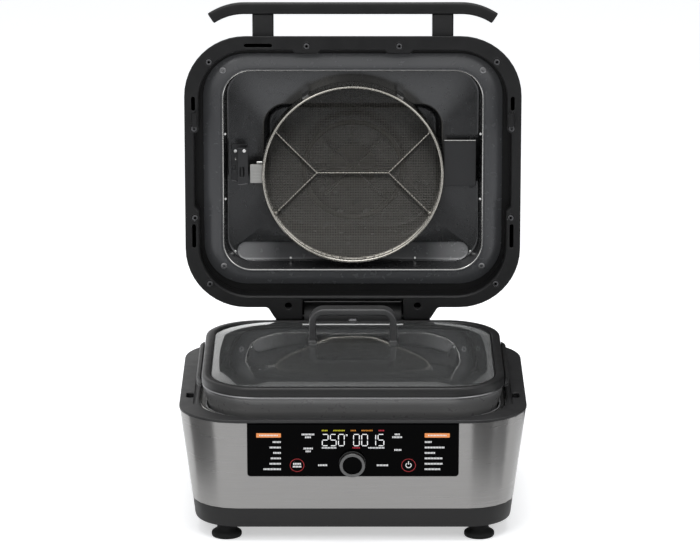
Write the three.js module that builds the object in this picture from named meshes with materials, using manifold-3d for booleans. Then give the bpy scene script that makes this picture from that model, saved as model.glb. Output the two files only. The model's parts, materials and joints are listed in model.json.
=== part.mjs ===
// Countertop grill and air fryer: a square base with a lift-out pot and a glass lid, and a deep hinged
// lid that holds the convection fan, the upper heater and a lift-off guard. Millimetres, +Z up.
// The model stands at rest with its lid open by a right angle and the glass lid on the pot.
import * as THREE from "three";
import { mergeVertices } from "three/addons/utils/BufferGeometryUtils.js";
import Module from "manifold-3d";

// Driving dimensions
const BASE_WIDTH = 400;
const BASE_DEPTH = 330;
const BASE_HEIGHT = 150;
const DECK_CORNER = 68;
const LID_LENGTH = 333;
const LID_HEIGHT = 112;
const OVERRUN = 30; // how far a cutting body runs past what it cuts
const CLEARANCE = 0.3; // between pieces that sit against each other
const PIN_CLEARANCE = 0.1; // between the hinge pin and the arms that turn on it
const SHEET = 1.2; // pressed metal
const WALL = 2.5; // moulded plastic

// Facets
const CORNER_STEPS = 5;
const ROUND_STEPS = 2;
const ROUND_SIDES = 20;
const WIRE_SIDES = 6;

// Deck: the moulded frame round the opening
const DECK_THICKNESS = 3.2;
const DECK_EDGE = 1.2;
const DECK_SIDE_BORDER = 23;
const DECK_FRONT_BORDER = 13;
const DECK_REAR_BORDER = 8;
const DECK_OPENING_CORNER = 66;
const LEDGE_WIDTH = 5;
const LEDGE_DROP = 4.2;
const LEDGE_THICKNESS = 2.5;
const GROOVE_WIDTH = 2.4;
const GROOVE_DEPTH = 1.6;
const GROOVE_LENGTH = 197;
const GROOVE_INSET = 18;
const PEG_HOLE_LENGTH = 18;
const PEG_HOLE_WIDTH = 8;
const PEG_HOLE_INSET = 11.4;
const PEG_HOLE_Y = -62.5;
const PEG_SOCKET_DEPTH = 6;
const PEG_SOCKET_WALL = 2;

// Steel wrap round the base, and the tray below it
const WRAP_TOP_INSET = 0.6;
const WRAP_DRAFT = 13.9;
const WRAP_BOTTOM = 40.6;
const TRAY_STEP = 0.6;
const TRAY_UPSTAND = 6;
const TRAY_DRAFT = 2.6;
const TRAY_BOTTOM = 16.4;
const TRAY_ROUND = 4;
const STANDOFF_RADIUS = 4;
const STANDOFF_HEIGHT = 8;
const BOARD_WIDTH = 110;
const BOARD_DEPTH = 70;
const BOARD_SHEET = 1.6;
const BOARD_SIDE_INSET = 120;
const RELAY_SIZE = 18;
const CAPACITOR_RADIUS = 8;
const CAPACITOR_HEIGHT = 22;

// Feet
const FOOT_RADIUS = 17.5;
const FOOT_NECK = 12.5;
const FOOT_PAD = 5;
const FOOT_EDGE = 1.5;
const FOOT_SIDE_INSET = 54.5;
const FOOT_END_INSET = 40;

// Control panel, its knob and the electronics behind it
const PANEL_HALF_WIDTH = 120.4;
const PANEL_TOP_DROP = 1;
const PANEL_LENGTH = 65;
const PANEL_CORNER = 3.5;
const PANEL_THICKNESS = 3;
const PANEL_PROUD = 0.8;
const KNOB_X = -0.7;
const KNOB_DROP = 48;
const KNOB_RADIUS = 15.1;
const KNOB_CAP_RADIUS = 11;
const KNOB_LENGTH = 8;
const KNOB_EDGE = 1.2;
const KNOB_DISH = 0.8;
const SHAFT_RADIUS = 3;
const ENCODER_SIZE = 13;
const ENCODER_DEPTH = 6;
const CONTROL_BOARD_HALF = 112;
const CONTROL_BOARD_LENGTH = 54;
const CONTROL_BOARD_GAP = 9;
const DISPLAY_WIDTH = 96;
const DISPLAY_HEIGHT = 20;
const DISPLAY_DROP = 19.3;
const CONTROL_BOARD_DROP = 10;
const BOARD_POST = 3;

// Fixed liner of the base, the plate heater and the pot sensor
const LINER_GAP = 0.5;
const LINER_WALL_INSET = 7;
const LINER_FOOT_INSET = 15;
const LINER_FLOOR = 58;
const LINER_ROUND = 8;
const HEATER_HALF_X = 120;
const HEATER_HALF_Y = 98;
const HEATER_CORNER = 46;
const HEATER_TOP = 75;
const HEATER_RIM = 4;
const HEATER_STEP = 5;
const SENSOR_HOLE = 19;
const SENSOR_CAP_RADIUS = 15;
const SENSOR_CAP_HEIGHT = 6;
const SENSOR_STEM_RADIUS = 6;
const SENSOR_STEM_DEPTH = 31;
const SENSOR_CUP_RADIUS = 24;
const SENSOR_CUP_DEPTH = 16;
const SPRING_RADIUS = 10;
const SPRING_WIRE = 0.9;
const SPRING_TURNS = 4;
const SPRING_STEPS = 10;

// Pot
const POT_SIDE_GAP = 4.5;
const POT_END_GAP = 10;
const POT_CORNER_GAP = 3;
const POT_CENTRE_Y = 0.5;
const POT_SHEET = 1.6;
const POT_RIM_ABOVE_DECK = 21.7;
const POT_RIM_HEIGHT = 7.7;
const POT_RIM_ROUND = 1.6;
const POT_RIM_LIP = 1.6;
const POT_WALL_INSET = 6.5;
const POT_FOOT_INSET = 14;
const POT_ROUND = 12;
const EAR_REACH = 8.5;
const EAR_HALF_LENGTH = 59;
const EAR_CENTRE_Y = -1;
const EAR_BELOW_RIM = 6.7;
const EAR_ABOVE_RIM = 2.8;
const EAR_FLOOR = 2.4;
const EAR_RIM = 2;
const EAR_CORNER = 16;

// Glass lid on the pot
const RING_OVERHANG = 2;
const RING_HEIGHT = 10.5;
const RING_WIDTH = 10;
const RING_LEDGE = 8;
const RING_EDGE = 1.2;
const RING_LIP = 1.8;
const RING_GROOVE_INSET = 4;
const RING_GROOVE_HEIGHT = 5.8;
const GLASS_THICKNESS = 3.6;
const DOME_RISE = 19;
const DOME_SHARES = [1, 0.9, 0.72, 0.5, 0.22];
const GRIP_HALF_SPAN = 51;
const GRIP_HEIGHT = 41;
const GRIP_WIDTH = 20;
const GRIP_THICKNESS = 8;
const GRIP_BEND = 17;
const GRIP_CENTRE_Y = 2;
const GRIP_EDGE = 2;
const GRIP_FOOT_REACH = 5;
const GRIP_FOOT_HEIGHT = 6;
const GRIP_SCREW_RADIUS = 2.5;
const GRIP_SCREW_HEAD = 6;
const GRIP_SCREW_DEPTH = 12;
const VENT_RADIUS = 4;
const VENT_HEIGHT = 2;

// Hinge between the base and the lid
const HINGE_BEHIND_DECK = 22.6;
const HINGE_ABOVE_DECK = 25.6;
const HINGE_BACK = 17.6; // axis behind the lid's rear edge
const HINGE_RISE = 24.6; // axis above the lid's face when closed
const LID_OPEN_ANGLE = Math.PI / 2;
const PIN_RADIUS = 4;
const PIN_HALF_LENGTH = 90;
const TOWER_HALF_WIDTH = 58.5;
const TOWER_RADIUS = 18;
const FIN_LAP = 3.5;
const FIN_THICKNESS = 4;
const HOUSING_HALF_WIDTH = 104;
const HOUSING_BOTTOM = 84;
const HOUSING_TOP_DROP = 2.2;
const HOUSING_LAP = 20;
const HOUSING_CORNER = 12;
const HOUSING_EDGE = 3;
const INLET_WIDTH = 28;
const INLET_HEIGHT = 22;
const INLET_DEPTH = 24;
const INLET_FLANGE = 4;
const INLET_X = 76;
const INLET_Z = 112;
const INLET_RECESS = 14;
const SWITCH_WIDTH = 7;
const SWITCH_LENGTH = 20;
const SWITCH_HEIGHT = 14;

// Lid frame: x across, y up from the hinge edge, z out of the face, depths in from the face
const LID_SIDE_OVERHANG = 0.8;
const LID_CORNER = 73;
const LID_EDGE = 1.2;
const FRAME_THICKNESS = 3;
const FRAME_SIDE_BORDER = 17.2;
const FRAME_REAR_BORDER = 14.2;
const FRAME_FRONT_BORDER = 17.5;
const FRAME_OPENING_CORNER = 60;
const FRAME_CHAMFER = 2.6;
const BAY_REACH = 5.4;
const BAY_LENGTH = 95;
const BAY_OFFSET = 4.6;
const BULGE_X = 55;
const BULGE_WIDTH = 30;
const BULGE_REACH = 4;
const NOTCH_HALF_WIDTH = 60.8;
const NOTCH_HEIGHT = 10;
const NOTCH_DEPTH = 48;
const NOTCH_WALL = 1.2;
const ARM_WIDTH = 32.4;
const TONGUE_FLARE = 9.1;
const TONGUE_LENGTH = 14.5;
const ARM_BARREL_RADIUS = 13;
const ARM_HOLE_RADIUS = 3;
const ARM_HOLE_X = 77.7;
const ARM_HOLE_Y = 1.7;
const TOP_SLOT_X = -112.6;
const TOP_SLOT_WIDTH = 33.4;
const TOP_SLOT_HEIGHT = 4.3;
const TOP_SLOT_DROP = 11.2;
const SIDE_SLOT_WIDTH = 3.5;
const SIDE_SLOT_INSET = 10;
const UPPER_SLOT_LENGTH = 17;
const UPPER_SLOT_Y = 251;
const LOWER_SLOT_LENGTH = 29;
const LOWER_SLOT_Y = 88.5;
const SLOT_DEPTH = 1.8;
const PEG_WIDTH = 5;
const PEG_LENGTH = 16;
const PEG_HEIGHT = 8;

// Pressed liner of the lid: flange, cavity, well and long recess
const FLANGE_DEPTH = 22;
const FLANGE_SIDE_GAP = 4.6;
const FLANGE_REAR_GAP = 9.4;
const FLANGE_FRONT_GAP = 7.4;
const FLANGE_CORNER = 52;
const FLANGE_SEAT = 5;
const CAVITY_SIDE = 23.5;
const CAVITY_REAR = 17.8;
const CAVITY_FRONT = 21.3;
const CAVITY_CORNER = 34;
const CAVITY_DEPTH = 50;
const CAVITY_DRAFT = 3;
const CAVITY_ROUND = 3.4;
const BEAD_WIDTH = 2.5;
const BEAD_HEIGHT = 1;
const WELL_SIDE_LESS = 3.8; // than the guard's radius
const WELL_END_LESS = 29.3;
const WELL_CORNER = 25;
const WELL_DEPTH = 72;
const WELL_DRAFT = 3;
const WELL_ROUND = 6;
const RECESS_SIDE_GAP = 15.5;
const RECESS_HALF_Y = 9.5;
const RECESS_UP = 19;
const RECESS_DEPTH = 5;
const RECESS_ROUND = 1.5;

// Guard over the fan, with what it hangs on
const GUARD_BELOW_CENTRE = 6.3;
const GUARD_SIDE_ROOM = 46;
const GUARD_END_ROOM = 13.2;
const GUARD_SIDES = 40;
const GUARD_SHEET = 1.6;
const GUARD_FRONT_DEPTH = 25;
const GUARD_ROLL = 3.6;
const GUARD_ROLL_DEPTH = 2;
const GUARD_LIP = 7;
const MESH_DEPTH = 39;
const MESH_THICKNESS = 0.7;
const MESH_PITCH_SHARE = 0.186; // of the mesh's radius
const MESH_BAR_SHARE = 0.2; // of the pitch
const MESH_REACH_SHARE = 0.975; // of the mesh's radius
const GUARD_WIRE_RADIUS = 1.2;
const WIRE_BAR_SHARE = 0.397;
const WIRE_REACH_SHARES = [0.854, 0.464];
const TAB_REACH_SHARE = 0.304; // of the room between the guard and the cavity's side
const TAB_WIDTH = 23;
const TAB_DEPTH = 31;
const TAB_THICKNESS = 4;
const REST_PLATE_SHARES = [0.707, 0.793]; // of the same room: its face and its foot
const REST_PLATE_DEPTH = 39.3;
const REST_PLATE_LENGTH = 63;
const REST_PLATE_OFFSET = 10.7;
const BRACKET_SHARES = [0.359, 0.55, 0.793]; // of the same room: its wall, lip and foot
const BRACKET_LENGTH = 45;
const BRACKET_OFFSET = 9.7;
const BRACKET_DEPTH = 30;
const CLIP_SHARE = 0.508; // of the guard's radius, from its middle
const CLIP_THICKNESS = 2.4;
const CLIP_WIDTH = 9;
const CLIP_DEPTH = 27;

// Fan, heater and motor
const HEATER_RING_SHARE = 0.539; // of the guard's radius
const HEATER_TUBE = 3.5;
const HEATER_RING_DEPTH = 53.5;
const HEATER_LEG_X = 16;
const HEATER_LEG_END = 80;
const FAN_SHARE = 0.438; // of the guard's radius
const FAN_FRONT_DEPTH = 58;
const FAN_BACK_DEPTH = 68;
const FAN_HUB = 9;
const FAN_BLADES = 8;
const FAN_BLADE_SHEET = 1.2;
const MOTOR_SHAFT_RADIUS = 3;
const MOTOR_SHAFT_FRONT = 55;
const MOTOR_SHAFT_BACK = 107;
const BRACKET_PLATE_DEPTH = 76;
const BRACKET_PLATE_SHEET = 1.5;
const BRACKET_PLATE_HALF = 52;
const BRACKET_PLATE_WIDTH = 36;
const BRACKET_FOOT = 12;
const MOTOR_RADIUS = 32;
const MOTOR_BACK = 98;
const MOTOR_BOSS = 9;
const COOLING_RADIUS = 29;
const COOLING_BLADES = 6;
const COOLING_DEPTH = 99.5;
const COOLING_BACK = 106;

// Lid cover
const COVER_INSET = 0.6;
const COVER_DRAFT = 3;
const SHOULDER_DEPTH = 52;
const SHOULDER_ROUND = 12;
const SHOULDER_RISE = 8;
const PLATEAU_INSET = 46;
const PLATEAU_DRAFT = 4;
const PLATEAU_ROUND = 10;
const BOSS_RADIUS = 4;
const BOSS_SIDE_INSET = 23.7; // from the liner's flange
const BOSS_REAR_INSET = 22.2;
const BOSS_FRONT_INSET = 20.7;
const VENT_SLOTS = 9;
const VENT_PITCH = 14;
const VENT_WIDTH = 5;
const VENT_LENGTH = 18;
const VENT_DEPTH = 86;

// Handle on the lid's front edge
const BAR_GAP = 25.5;
const BAR_HEIGHT = 14.6;
const BAR_HALF_STRAIGHT = 128.5;
const BAR_BEND = 72;
const BAR_BEND_ANGLE = (33 * Math.PI) / 180;
const BAR_FRONT = 4;
const BAR_BACK = 26;
const BAR_EDGE = 3;
const POST_X = 106.8;
const POST_WIDTH = 25.2;
const POST_FRONT = 6;
const POST_BACK = 30;
const POST_CORNER = 5;

// Sizes that follow from those above
const HALF_WIDTH = BASE_WIDTH / 2;
const HALF_DEPTH = BASE_DEPTH / 2;
const DECK_UNDERSIDE = BASE_HEIGHT - DECK_THICKNESS;
const OPENING_HALF_X = HALF_WIDTH - DECK_SIDE_BORDER;
const OPENING_HALF_Y = HALF_DEPTH - (DECK_FRONT_BORDER + DECK_REAR_BORDER) / 2;
const OPENING_CENTRE_Y = (DECK_FRONT_BORDER - DECK_REAR_BORDER) / 2;
const LEDGE_TOP = BASE_HEIGHT - LEDGE_DROP;
const WRAP_TOP = DECK_UNDERSIDE - CLEARANCE;
const WRAP_SLOPE = WRAP_DRAFT / (WRAP_TOP - WRAP_BOTTOM);
const WRAP_TILT = Math.atan(WRAP_SLOPE);
const POT_HALF_X = OPENING_HALF_X - POT_SIDE_GAP;
const POT_HALF_Y = OPENING_HALF_Y - POT_END_GAP;
const POT_FLOOR = HEATER_TOP + CLEARANCE;
const POT_RIM_TOP = BASE_HEIGHT + POT_RIM_ABOVE_DECK;
const EAR_BOTTOM = POT_RIM_TOP - EAR_BELOW_RIM;
const EAR_TOP = POT_RIM_TOP + EAR_ABOVE_RIM;
const RING_BOTTOM = POT_RIM_TOP + CLEARANCE;
const RING_TOP = RING_BOTTOM + RING_HEIGHT;
const PEG_X = HALF_WIDTH - PEG_HOLE_INSET;
const BOARD_X = HALF_WIDTH - BOARD_SIDE_INSET;
const HINGE_Y = HALF_DEPTH + HINGE_BEHIND_DECK;
const HINGE_Z = BASE_HEIGHT + HINGE_ABOVE_DECK;

// Materials
const finish = (color, roughness, metalness) =>
  new THREE.MeshStandardMaterial({ color, roughness, metalness });
const blackPlastic = finish(0x1b1c1d, 0.5, 0);
const glossBlack = finish(0x08090a, 0.1, 0);
const brushedSteel = finish(0x8f8e8c, 0.35, 1);
const darkCoating = finish(0x2b2c2d, 0.45, 0.4);
const greyCoating = finish(0x4a4a4a, 0.4, 0.8);
const rubber = finish(0x161616, 0.9, 0);
const aluminium = finish(0xb9bbbd, 0.4, 1);
const polished = finish(0xc9c8c4, 0.2, 1);
const lightPlastic = finish(0xb4b4b2, 0.5, 0);
const clearGlass = finish(0x202426, 0.05, 0);
const circuitBoard = finish(0x1d4a2f, 0.6, 0);
const brass = finish(0xb08d57, 0.35, 1);

// Solids: closed meshes that can be joined and cut
const wasm = await Module();
wasm.setup();

function solidOf(geometry) {
  const bare = geometry.clone();
  bare.deleteAttribute("normal");
  bare.deleteAttribute("uv");
  const merged = mergeVertices(bare);
  return new wasm.Manifold(
    new wasm.Mesh({
      numProp: 3,
      vertProperties: merged.attributes.position.array,
      triVerts: new Uint32Array(merged.index.array),
    }),
  );
}

function geometryOf(body) {
  const mesh = body.getMesh();
  const geometry = new THREE.BufferGeometry();
  geometry.setAttribute("position", new THREE.BufferAttribute(mesh.vertProperties, 3));
  geometry.setIndex(new THREE.BufferAttribute(mesh.triVerts, 1));
  geometry.computeVertexNormals();
  return geometry;
}

function join(...geometries) {
  return geometryOf(geometries.map(solidOf).reduce((whole, next) => whole.add(next)));
}

function cut(geometry, ...tools) {
  return geometryOf(tools.map(solidOf).reduce((whole, tool) => whole.subtract(tool), solidOf(geometry)));
}

// The common part of two closed shapes
function overlap(geometry, other) {
  return geometryOf(solidOf(geometry).intersect(solidOf(other)));
}

// A rounded rectangle as points, anticlockwise
function outline({ halfX, halfY, radius, centreX = 0, centreY = 0 }) {
  const points = [];
  [[1, 1], [-1, 1], [-1, -1], [1, -1]].forEach(([sideX, sideY], corner) => {
    for (let step = 0; step <= CORNER_STEPS; step++) {
      const angle = ((corner + step / CORNER_STEPS) * Math.PI) / 2;
      const x = centreX + sideX * (halfX - radius) + radius * Math.cos(angle);
      const y = centreY + sideY * (halfY - radius) + radius * Math.sin(angle);
      points.push(new THREE.Vector2(x, y));
    }
  });
  return points;
}

// A closed body through rounded rectangles, each at its own height
function stack(levels) {
  const rising = levels[levels.length - 1].z > levels[0].z;
  const ordered = rising ? levels : [...levels].reverse();
  const positions = [];
  const faces = [];
  ordered.forEach((level) => outline(level).forEach(({ x, y }) => positions.push(x, y, level.z)));
  const count = outline(ordered[0]).length;
  for (let level = 0; level < ordered.length - 1; level++) {
    for (let point = 0; point < count; point++) {
      const here = level * count + point;
      const beside = level * count + ((point + 1) % count);
      faces.push(here, beside, beside + count, here, beside + count, here + count);
    }
  }
  const top = (ordered.length - 1) * count;
  for (let point = 1; point < count - 1; point++) {
    faces.push(0, point + 1, point);
    faces.push(top, top + point, top + point + 1);
  }
  const geometry = new THREE.BufferGeometry();
  geometry.setAttribute("position", new THREE.BufferAttribute(new Float32Array(positions), 3));
  geometry.setIndex(faces);
  return geometry;
}

// A rounded rectangle drawn in on every side by one inset
function inset(shape, amount, z) {
  return {
    ...shape,
    halfX: shape.halfX - amount,
    halfY: shape.halfY - amount,
    radius: shape.radius - amount,
    z,
  };
}

function slab(shape, amount, bottom, top) {
  return stack([inset(shape, amount, bottom), inset(shape, amount, top)]);
}

// A dish with a drafted wall and a rounded foot, filled
function dish(shape, { rimInset, footInset, foot, rim, round, beyond = 0 }) {
  const levels = [];
  const way = Math.sign(rim - foot);
  for (let step = 0; step <= ROUND_STEPS; step++) {
    const angle = ((step / ROUND_STEPS) * Math.PI) / 2;
    const amount = footInset + round * (1 - Math.sin(angle));
    levels.push(inset(shape, amount, foot + way * round * (1 - Math.cos(angle))));
  }
  levels.push(inset(shape, rimInset, rim));
  if (beyond) levels.push(inset(shape, rimInset, rim + way * beyond));
  return stack(levels);
}

function block(sizeX, sizeY, sizeZ, x, y, z) {
  return new THREE.BoxGeometry(sizeX, sizeY, sizeZ).translate(x, y, z);
}

// A block between two corners
function between(left, right, low, high, back, front) {
  const size = [right - left, high - low, front - back];
  return block(...size, (left + right) / 2, (low + high) / 2, (back + front) / 2);
}

// A body turned about the vertical axis from a profile of radius and height
function turned(profile, sides = ROUND_SIDES) {
  const points = profile.map(([radius, z]) => new THREE.Vector2(radius, z));
  return new THREE.LatheGeometry(points, sides).rotateX(Math.PI / 2);
}

// An upright rod between two heights
function post(radius, bottom, top, x = 0, y = 0, sides = ROUND_SIDES) {
  const rod = new THREE.CylinderGeometry(radius, radius, top - bottom, sides).rotateX(Math.PI / 2);
  return rod.translate(x, y, (bottom + top) / 2);
}

// A rod along X
function axle(radius, left, right, y, z, sides = ROUND_SIDES) {
  const rod = new THREE.CylinderGeometry(radius, radius, right - left, sides).rotateZ(Math.PI / 2);
  return rod.translate((left + right) / 2, y, z);
}

function circle(radius, sides) {
  const points = [];
  for (let side = 0; side < sides; side++) {
    const angle = (side / sides) * 2 * Math.PI;
    points.push(new THREE.Vector2(radius * Math.cos(angle), radius * Math.sin(angle)));
  }
  return new THREE.Shape(points);
}

function wireAlong(curve, radius, steps, sides = WIRE_SIDES) {
  return new THREE.ExtrudeGeometry(circle(radius, sides), { extrudePath: curve, steps, bevelEnabled: false });
}

function rod3(from, to, radius, sides = WIRE_SIDES) {
  const curve = new THREE.LineCurve3(new THREE.Vector3(...from), new THREE.Vector3(...to));
  return wireAlong(curve, radius, 1, sides);
}

const machine = new THREE.Group();

function place(parent, name, geometry, material) {
  const mesh = new THREE.Mesh(geometry, material);
  mesh.name = name;
  parent.add(mesh);
  return mesh;
}

// Base: everything here is an inset of the deck's outline or of its opening
const deckOutline = { halfX: HALF_WIDTH, halfY: HALF_DEPTH, radius: DECK_CORNER };
const openingOutline = {
  halfX: OPENING_HALF_X,
  halfY: OPENING_HALF_Y,
  radius: DECK_OPENING_CORNER,
  centreY: OPENING_CENTRE_Y,
};

// The wrap's outside at a height, drawn in by the sheet or a gap
function wrapInset(z) {
  return WRAP_TOP_INSET + (WRAP_TOP - z) * WRAP_SLOPE;
}

function wrapSlab(extra, bottom, top) {
  return stack([
    inset(deckOutline, wrapInset(bottom) + extra, bottom),
    inset(deckOutline, wrapInset(top) + extra, top),
  ]);
}

function deckFrame() {
  const plate = stack([
    inset(deckOutline, 0, DECK_UNDERSIDE),
    inset(deckOutline, 0, BASE_HEIGHT - DECK_EDGE),
    inset(deckOutline, DECK_EDGE * (1 - Math.SQRT1_2), BASE_HEIGHT - DECK_EDGE * (1 - Math.SQRT1_2)),
    inset(deckOutline, DECK_EDGE, BASE_HEIGHT),
  ]);
  const skirt = slab(openingOutline, -WALL, LEDGE_TOP - LEDGE_THICKNESS, DECK_UNDERSIDE);
  const opening = slab(openingOutline, 0, LEDGE_TOP, BASE_HEIGHT + OVERRUN);
  const throat = slab(openingOutline, LEDGE_WIDTH, LEDGE_TOP - OVERRUN, BASE_HEIGHT);
  const sockets = [];
  const tools = [opening, throat];
  for (const side of [-1, 1]) {
    const grooveX = side * (HALF_WIDTH - GROOVE_INSET);
    const socketWidth = PEG_HOLE_WIDTH + 2 * PEG_SOCKET_WALL;
    const socketLength = PEG_HOLE_LENGTH + 2 * PEG_SOCKET_WALL;
    const socketHeight = PEG_SOCKET_DEPTH + DECK_THICKNESS / 2;
    const socketZ = DECK_UNDERSIDE - PEG_SOCKET_DEPTH + socketHeight / 2;
    sockets.push(block(socketWidth, socketLength, socketHeight, side * PEG_X, PEG_HOLE_Y, socketZ));
    tools.push(
      block(GROOVE_WIDTH, GROOVE_LENGTH, 2 * GROOVE_DEPTH, grooveX, 0, BASE_HEIGHT),
      block(PEG_HOLE_WIDTH, PEG_HOLE_LENGTH, 2 * OVERRUN, side * PEG_X, PEG_HOLE_Y, BASE_HEIGHT),
    );
  }
  return cut(join(plate, skirt, ...sockets), ...tools);
}

// The front face of the wrap: x across, y up the slope from the wrap's top edge, z outwards
function faceMatrix() {
  const matrix = new THREE.Matrix4().makeTranslation(0, WRAP_TOP_INSET - HALF_DEPTH, WRAP_TOP);
  return matrix.multiply(new THREE.Matrix4().makeRotationX(Math.PI / 2 + WRAP_TILT));
}

const PANEL_FRONT = PANEL_PROUD;
const PANEL_BACK = PANEL_PROUD - PANEL_THICKNESS;
const panelOutline = {
  halfX: PANEL_HALF_WIDTH,
  halfY: PANEL_LENGTH / 2,
  radius: PANEL_CORNER,
  centreY: -PANEL_TOP_DROP - PANEL_LENGTH / 2,
};
const inletOutline = {
  halfX: INLET_WIDTH / 2,
  halfY: INLET_HEIGHT / 2,
  radius: INLET_FLANGE,
};

function steelWrap() {
  const outside = wrapSlab(0, WRAP_BOTTOM, WRAP_TOP);
  const inside = wrapSlab(SHEET, WRAP_BOTTOM - OVERRUN, WRAP_TOP + OVERRUN);
  const window = slab(panelOutline, -CLEARANCE, -OVERRUN, OVERRUN);
  const open = block(2 * (PANEL_HALF_WIDTH + CLEARANCE), OVERRUN, OVERRUN, 0, 0, 0);
  return cut(
    outside,
    inside,
    window.applyMatrix4(faceMatrix()),
    open.applyMatrix4(faceMatrix()),
  );
}

const TRAY_TOP = WRAP_BOTTOM - CLEARANCE;
const TRAY_FLOOR = TRAY_BOTTOM + WALL;
const TRAY_INSET = wrapInset(WRAP_BOTTOM) + TRAY_STEP;
const UPSTAND_INSET = wrapInset(WRAP_BOTTOM) + SHEET + CLEARANCE;
const boardCorners = [];
for (const sideX of [-1, 1]) {
  for (const sideY of [-1, 1]) {
    const reachX = BOARD_WIDTH / 2 - STANDOFF_RADIUS;
    const reachY = BOARD_DEPTH / 2 - STANDOFF_RADIUS;
    boardCorners.push([BOARD_X + sideX * reachX, sideY * reachY]);
  }
}

function baseTray() {
  const foot = TRAY_INSET + TRAY_DRAFT;
  const band = dish(deckOutline, {
    rimInset: TRAY_INSET,
    footInset: foot,
    foot: TRAY_BOTTOM,
    rim: TRAY_TOP,
    round: TRAY_ROUND,
  });
  const upstand = slab(deckOutline, UPSTAND_INSET, TRAY_BOTTOM + TRAY_ROUND, TRAY_TOP + TRAY_UPSTAND);
  const hollow = dish(deckOutline, {
    rimInset: UPSTAND_INSET + WALL,
    footInset: foot + WALL,
    foot: TRAY_FLOOR,
    rim: TRAY_TOP,
    round: TRAY_ROUND,
    beyond: OVERRUN,
  });
  const standoffs = boardCorners.map(([x, y]) =>
    post(STANDOFF_RADIUS, TRAY_FLOOR - WALL / 2, TRAY_FLOOR + STANDOFF_HEIGHT, x, y, WIRE_SIDES),
  );
  return join(cut(join(band, upstand), hollow), ...standoffs);
}

function foot() {
  return turned([
    [0, 0],
    [FOOT_RADIUS - FOOT_EDGE, 0],
    [FOOT_RADIUS, FOOT_EDGE],
    [FOOT_RADIUS, FOOT_PAD],
    [FOOT_NECK, TRAY_BOTTOM],
    [0, TRAY_BOTTOM],
  ]);
}

const BOARD_BOTTOM = TRAY_FLOOR + STANDOFF_HEIGHT + CLEARANCE;

function powerBoard() {
  const plate = block(BOARD_WIDTH, BOARD_DEPTH, BOARD_SHEET, BOARD_X, 0, BOARD_BOTTOM + BOARD_SHEET / 2);
  const top = BOARD_BOTTOM + BOARD_SHEET / 2;
  const relays = [-1, 1].map((side) =>
    block(RELAY_SIZE, RELAY_SIZE, RELAY_SIZE, BOARD_X, side * RELAY_SIZE, top + RELAY_SIZE / 2),
  );
  const capacitorX = BOARD_X + BOARD_WIDTH / 4;
  return join(plate, ...relays, post(CAPACITOR_RADIUS, top, top + CAPACITOR_HEIGHT, capacitorX, 0));
}

const CONTROL_BOARD_FRONT = PANEL_BACK - CONTROL_BOARD_GAP;
const CONTROL_BOARD_Y = -PANEL_TOP_DROP - CONTROL_BOARD_DROP - CONTROL_BOARD_LENGTH / 2;
const KNOB_Y = -PANEL_TOP_DROP - KNOB_DROP;
const ENCODER_FRONT = CONTROL_BOARD_FRONT + CLEARANCE + ENCODER_DEPTH;

function controlPanel() {
  const plate = stack([
    inset(panelOutline, 0, PANEL_BACK),
    inset(panelOutline, 0, PANEL_FRONT - DECK_EDGE / 2),
    inset(panelOutline, DECK_EDGE / 2, PANEL_FRONT),
  ]);
  const posts = [];
  for (const sideX of [-1, 1]) {
    for (const sideY of [-1, 1]) {
      const x = sideX * (CONTROL_BOARD_HALF - BOARD_POST);
      const y = CONTROL_BOARD_Y + sideY * (CONTROL_BOARD_LENGTH / 2 - BOARD_POST);
      const bottom = CONTROL_BOARD_FRONT + CLEARANCE;
      posts.push(post(BOARD_POST, bottom, PANEL_FRONT - PANEL_THICKNESS / 2, x, y, WIRE_SIDES));
    }
  }
  const [from, to] = [PANEL_BACK - OVERRUN, PANEL_FRONT + OVERRUN];
  const shaftHole = post(SHAFT_RADIUS + CLEARANCE, from, to, KNOB_X, KNOB_Y);
  return cut(join(plate, ...posts), shaftHole);
}

function controlBoard() {
  const z = CONTROL_BOARD_FRONT - BOARD_SHEET / 2;
  return block(2 * CONTROL_BOARD_HALF, CONTROL_BOARD_LENGTH, BOARD_SHEET, 0, CONTROL_BOARD_Y, z);
}

function displayModule() {
  const back = CONTROL_BOARD_FRONT + CLEARANCE;
  const depth = PANEL_BACK - CLEARANCE - back;
  const y = -PANEL_TOP_DROP - DISPLAY_DROP;
  return block(DISPLAY_WIDTH, DISPLAY_HEIGHT, depth, 0, y, back + depth / 2);
}

function encoder() {
  const z = ENCODER_FRONT - ENCODER_DEPTH / 2;
  const body = block(ENCODER_SIZE, ENCODER_SIZE, ENCODER_DEPTH, KNOB_X, KNOB_Y, z);
  const bush = post(SHAFT_RADIUS + WALL / 2, z, PANEL_BACK - CLEARANCE, KNOB_X, KNOB_Y);
  const bore = post(SHAFT_RADIUS + CLEARANCE, z, PANEL_BACK + OVERRUN, KNOB_X, KNOB_Y);
  return cut(join(body, bush), bore);
}

const KNOB_BACK = PANEL_FRONT + CLEARANCE;
const KNOB_FRONT = PANEL_FRONT + KNOB_LENGTH;
const KNOB_SEAT = KNOB_BACK + KNOB_LENGTH / 2;

function knobShaft() {
  return post(SHAFT_RADIUS, ENCODER_FRONT - ENCODER_DEPTH / 2 + CLEARANCE, KNOB_SEAT - CLEARANCE);
}

function knobRing() {
  const bore = SHAFT_RADIUS + CLEARANCE;
  return turned([
    [bore, KNOB_BACK],
    [KNOB_RADIUS, KNOB_BACK],
    [KNOB_RADIUS - KNOB_DISH, KNOB_FRONT - KNOB_EDGE],
    [KNOB_RADIUS - KNOB_DISH - KNOB_EDGE, KNOB_FRONT],
    [KNOB_CAP_RADIUS + KNOB_EDGE, KNOB_FRONT],
    [KNOB_CAP_RADIUS, KNOB_FRONT - KNOB_EDGE],
    [KNOB_CAP_RADIUS, KNOB_SEAT],
    [bore, KNOB_SEAT],
    [bore, KNOB_BACK],
  ]);
}

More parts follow.
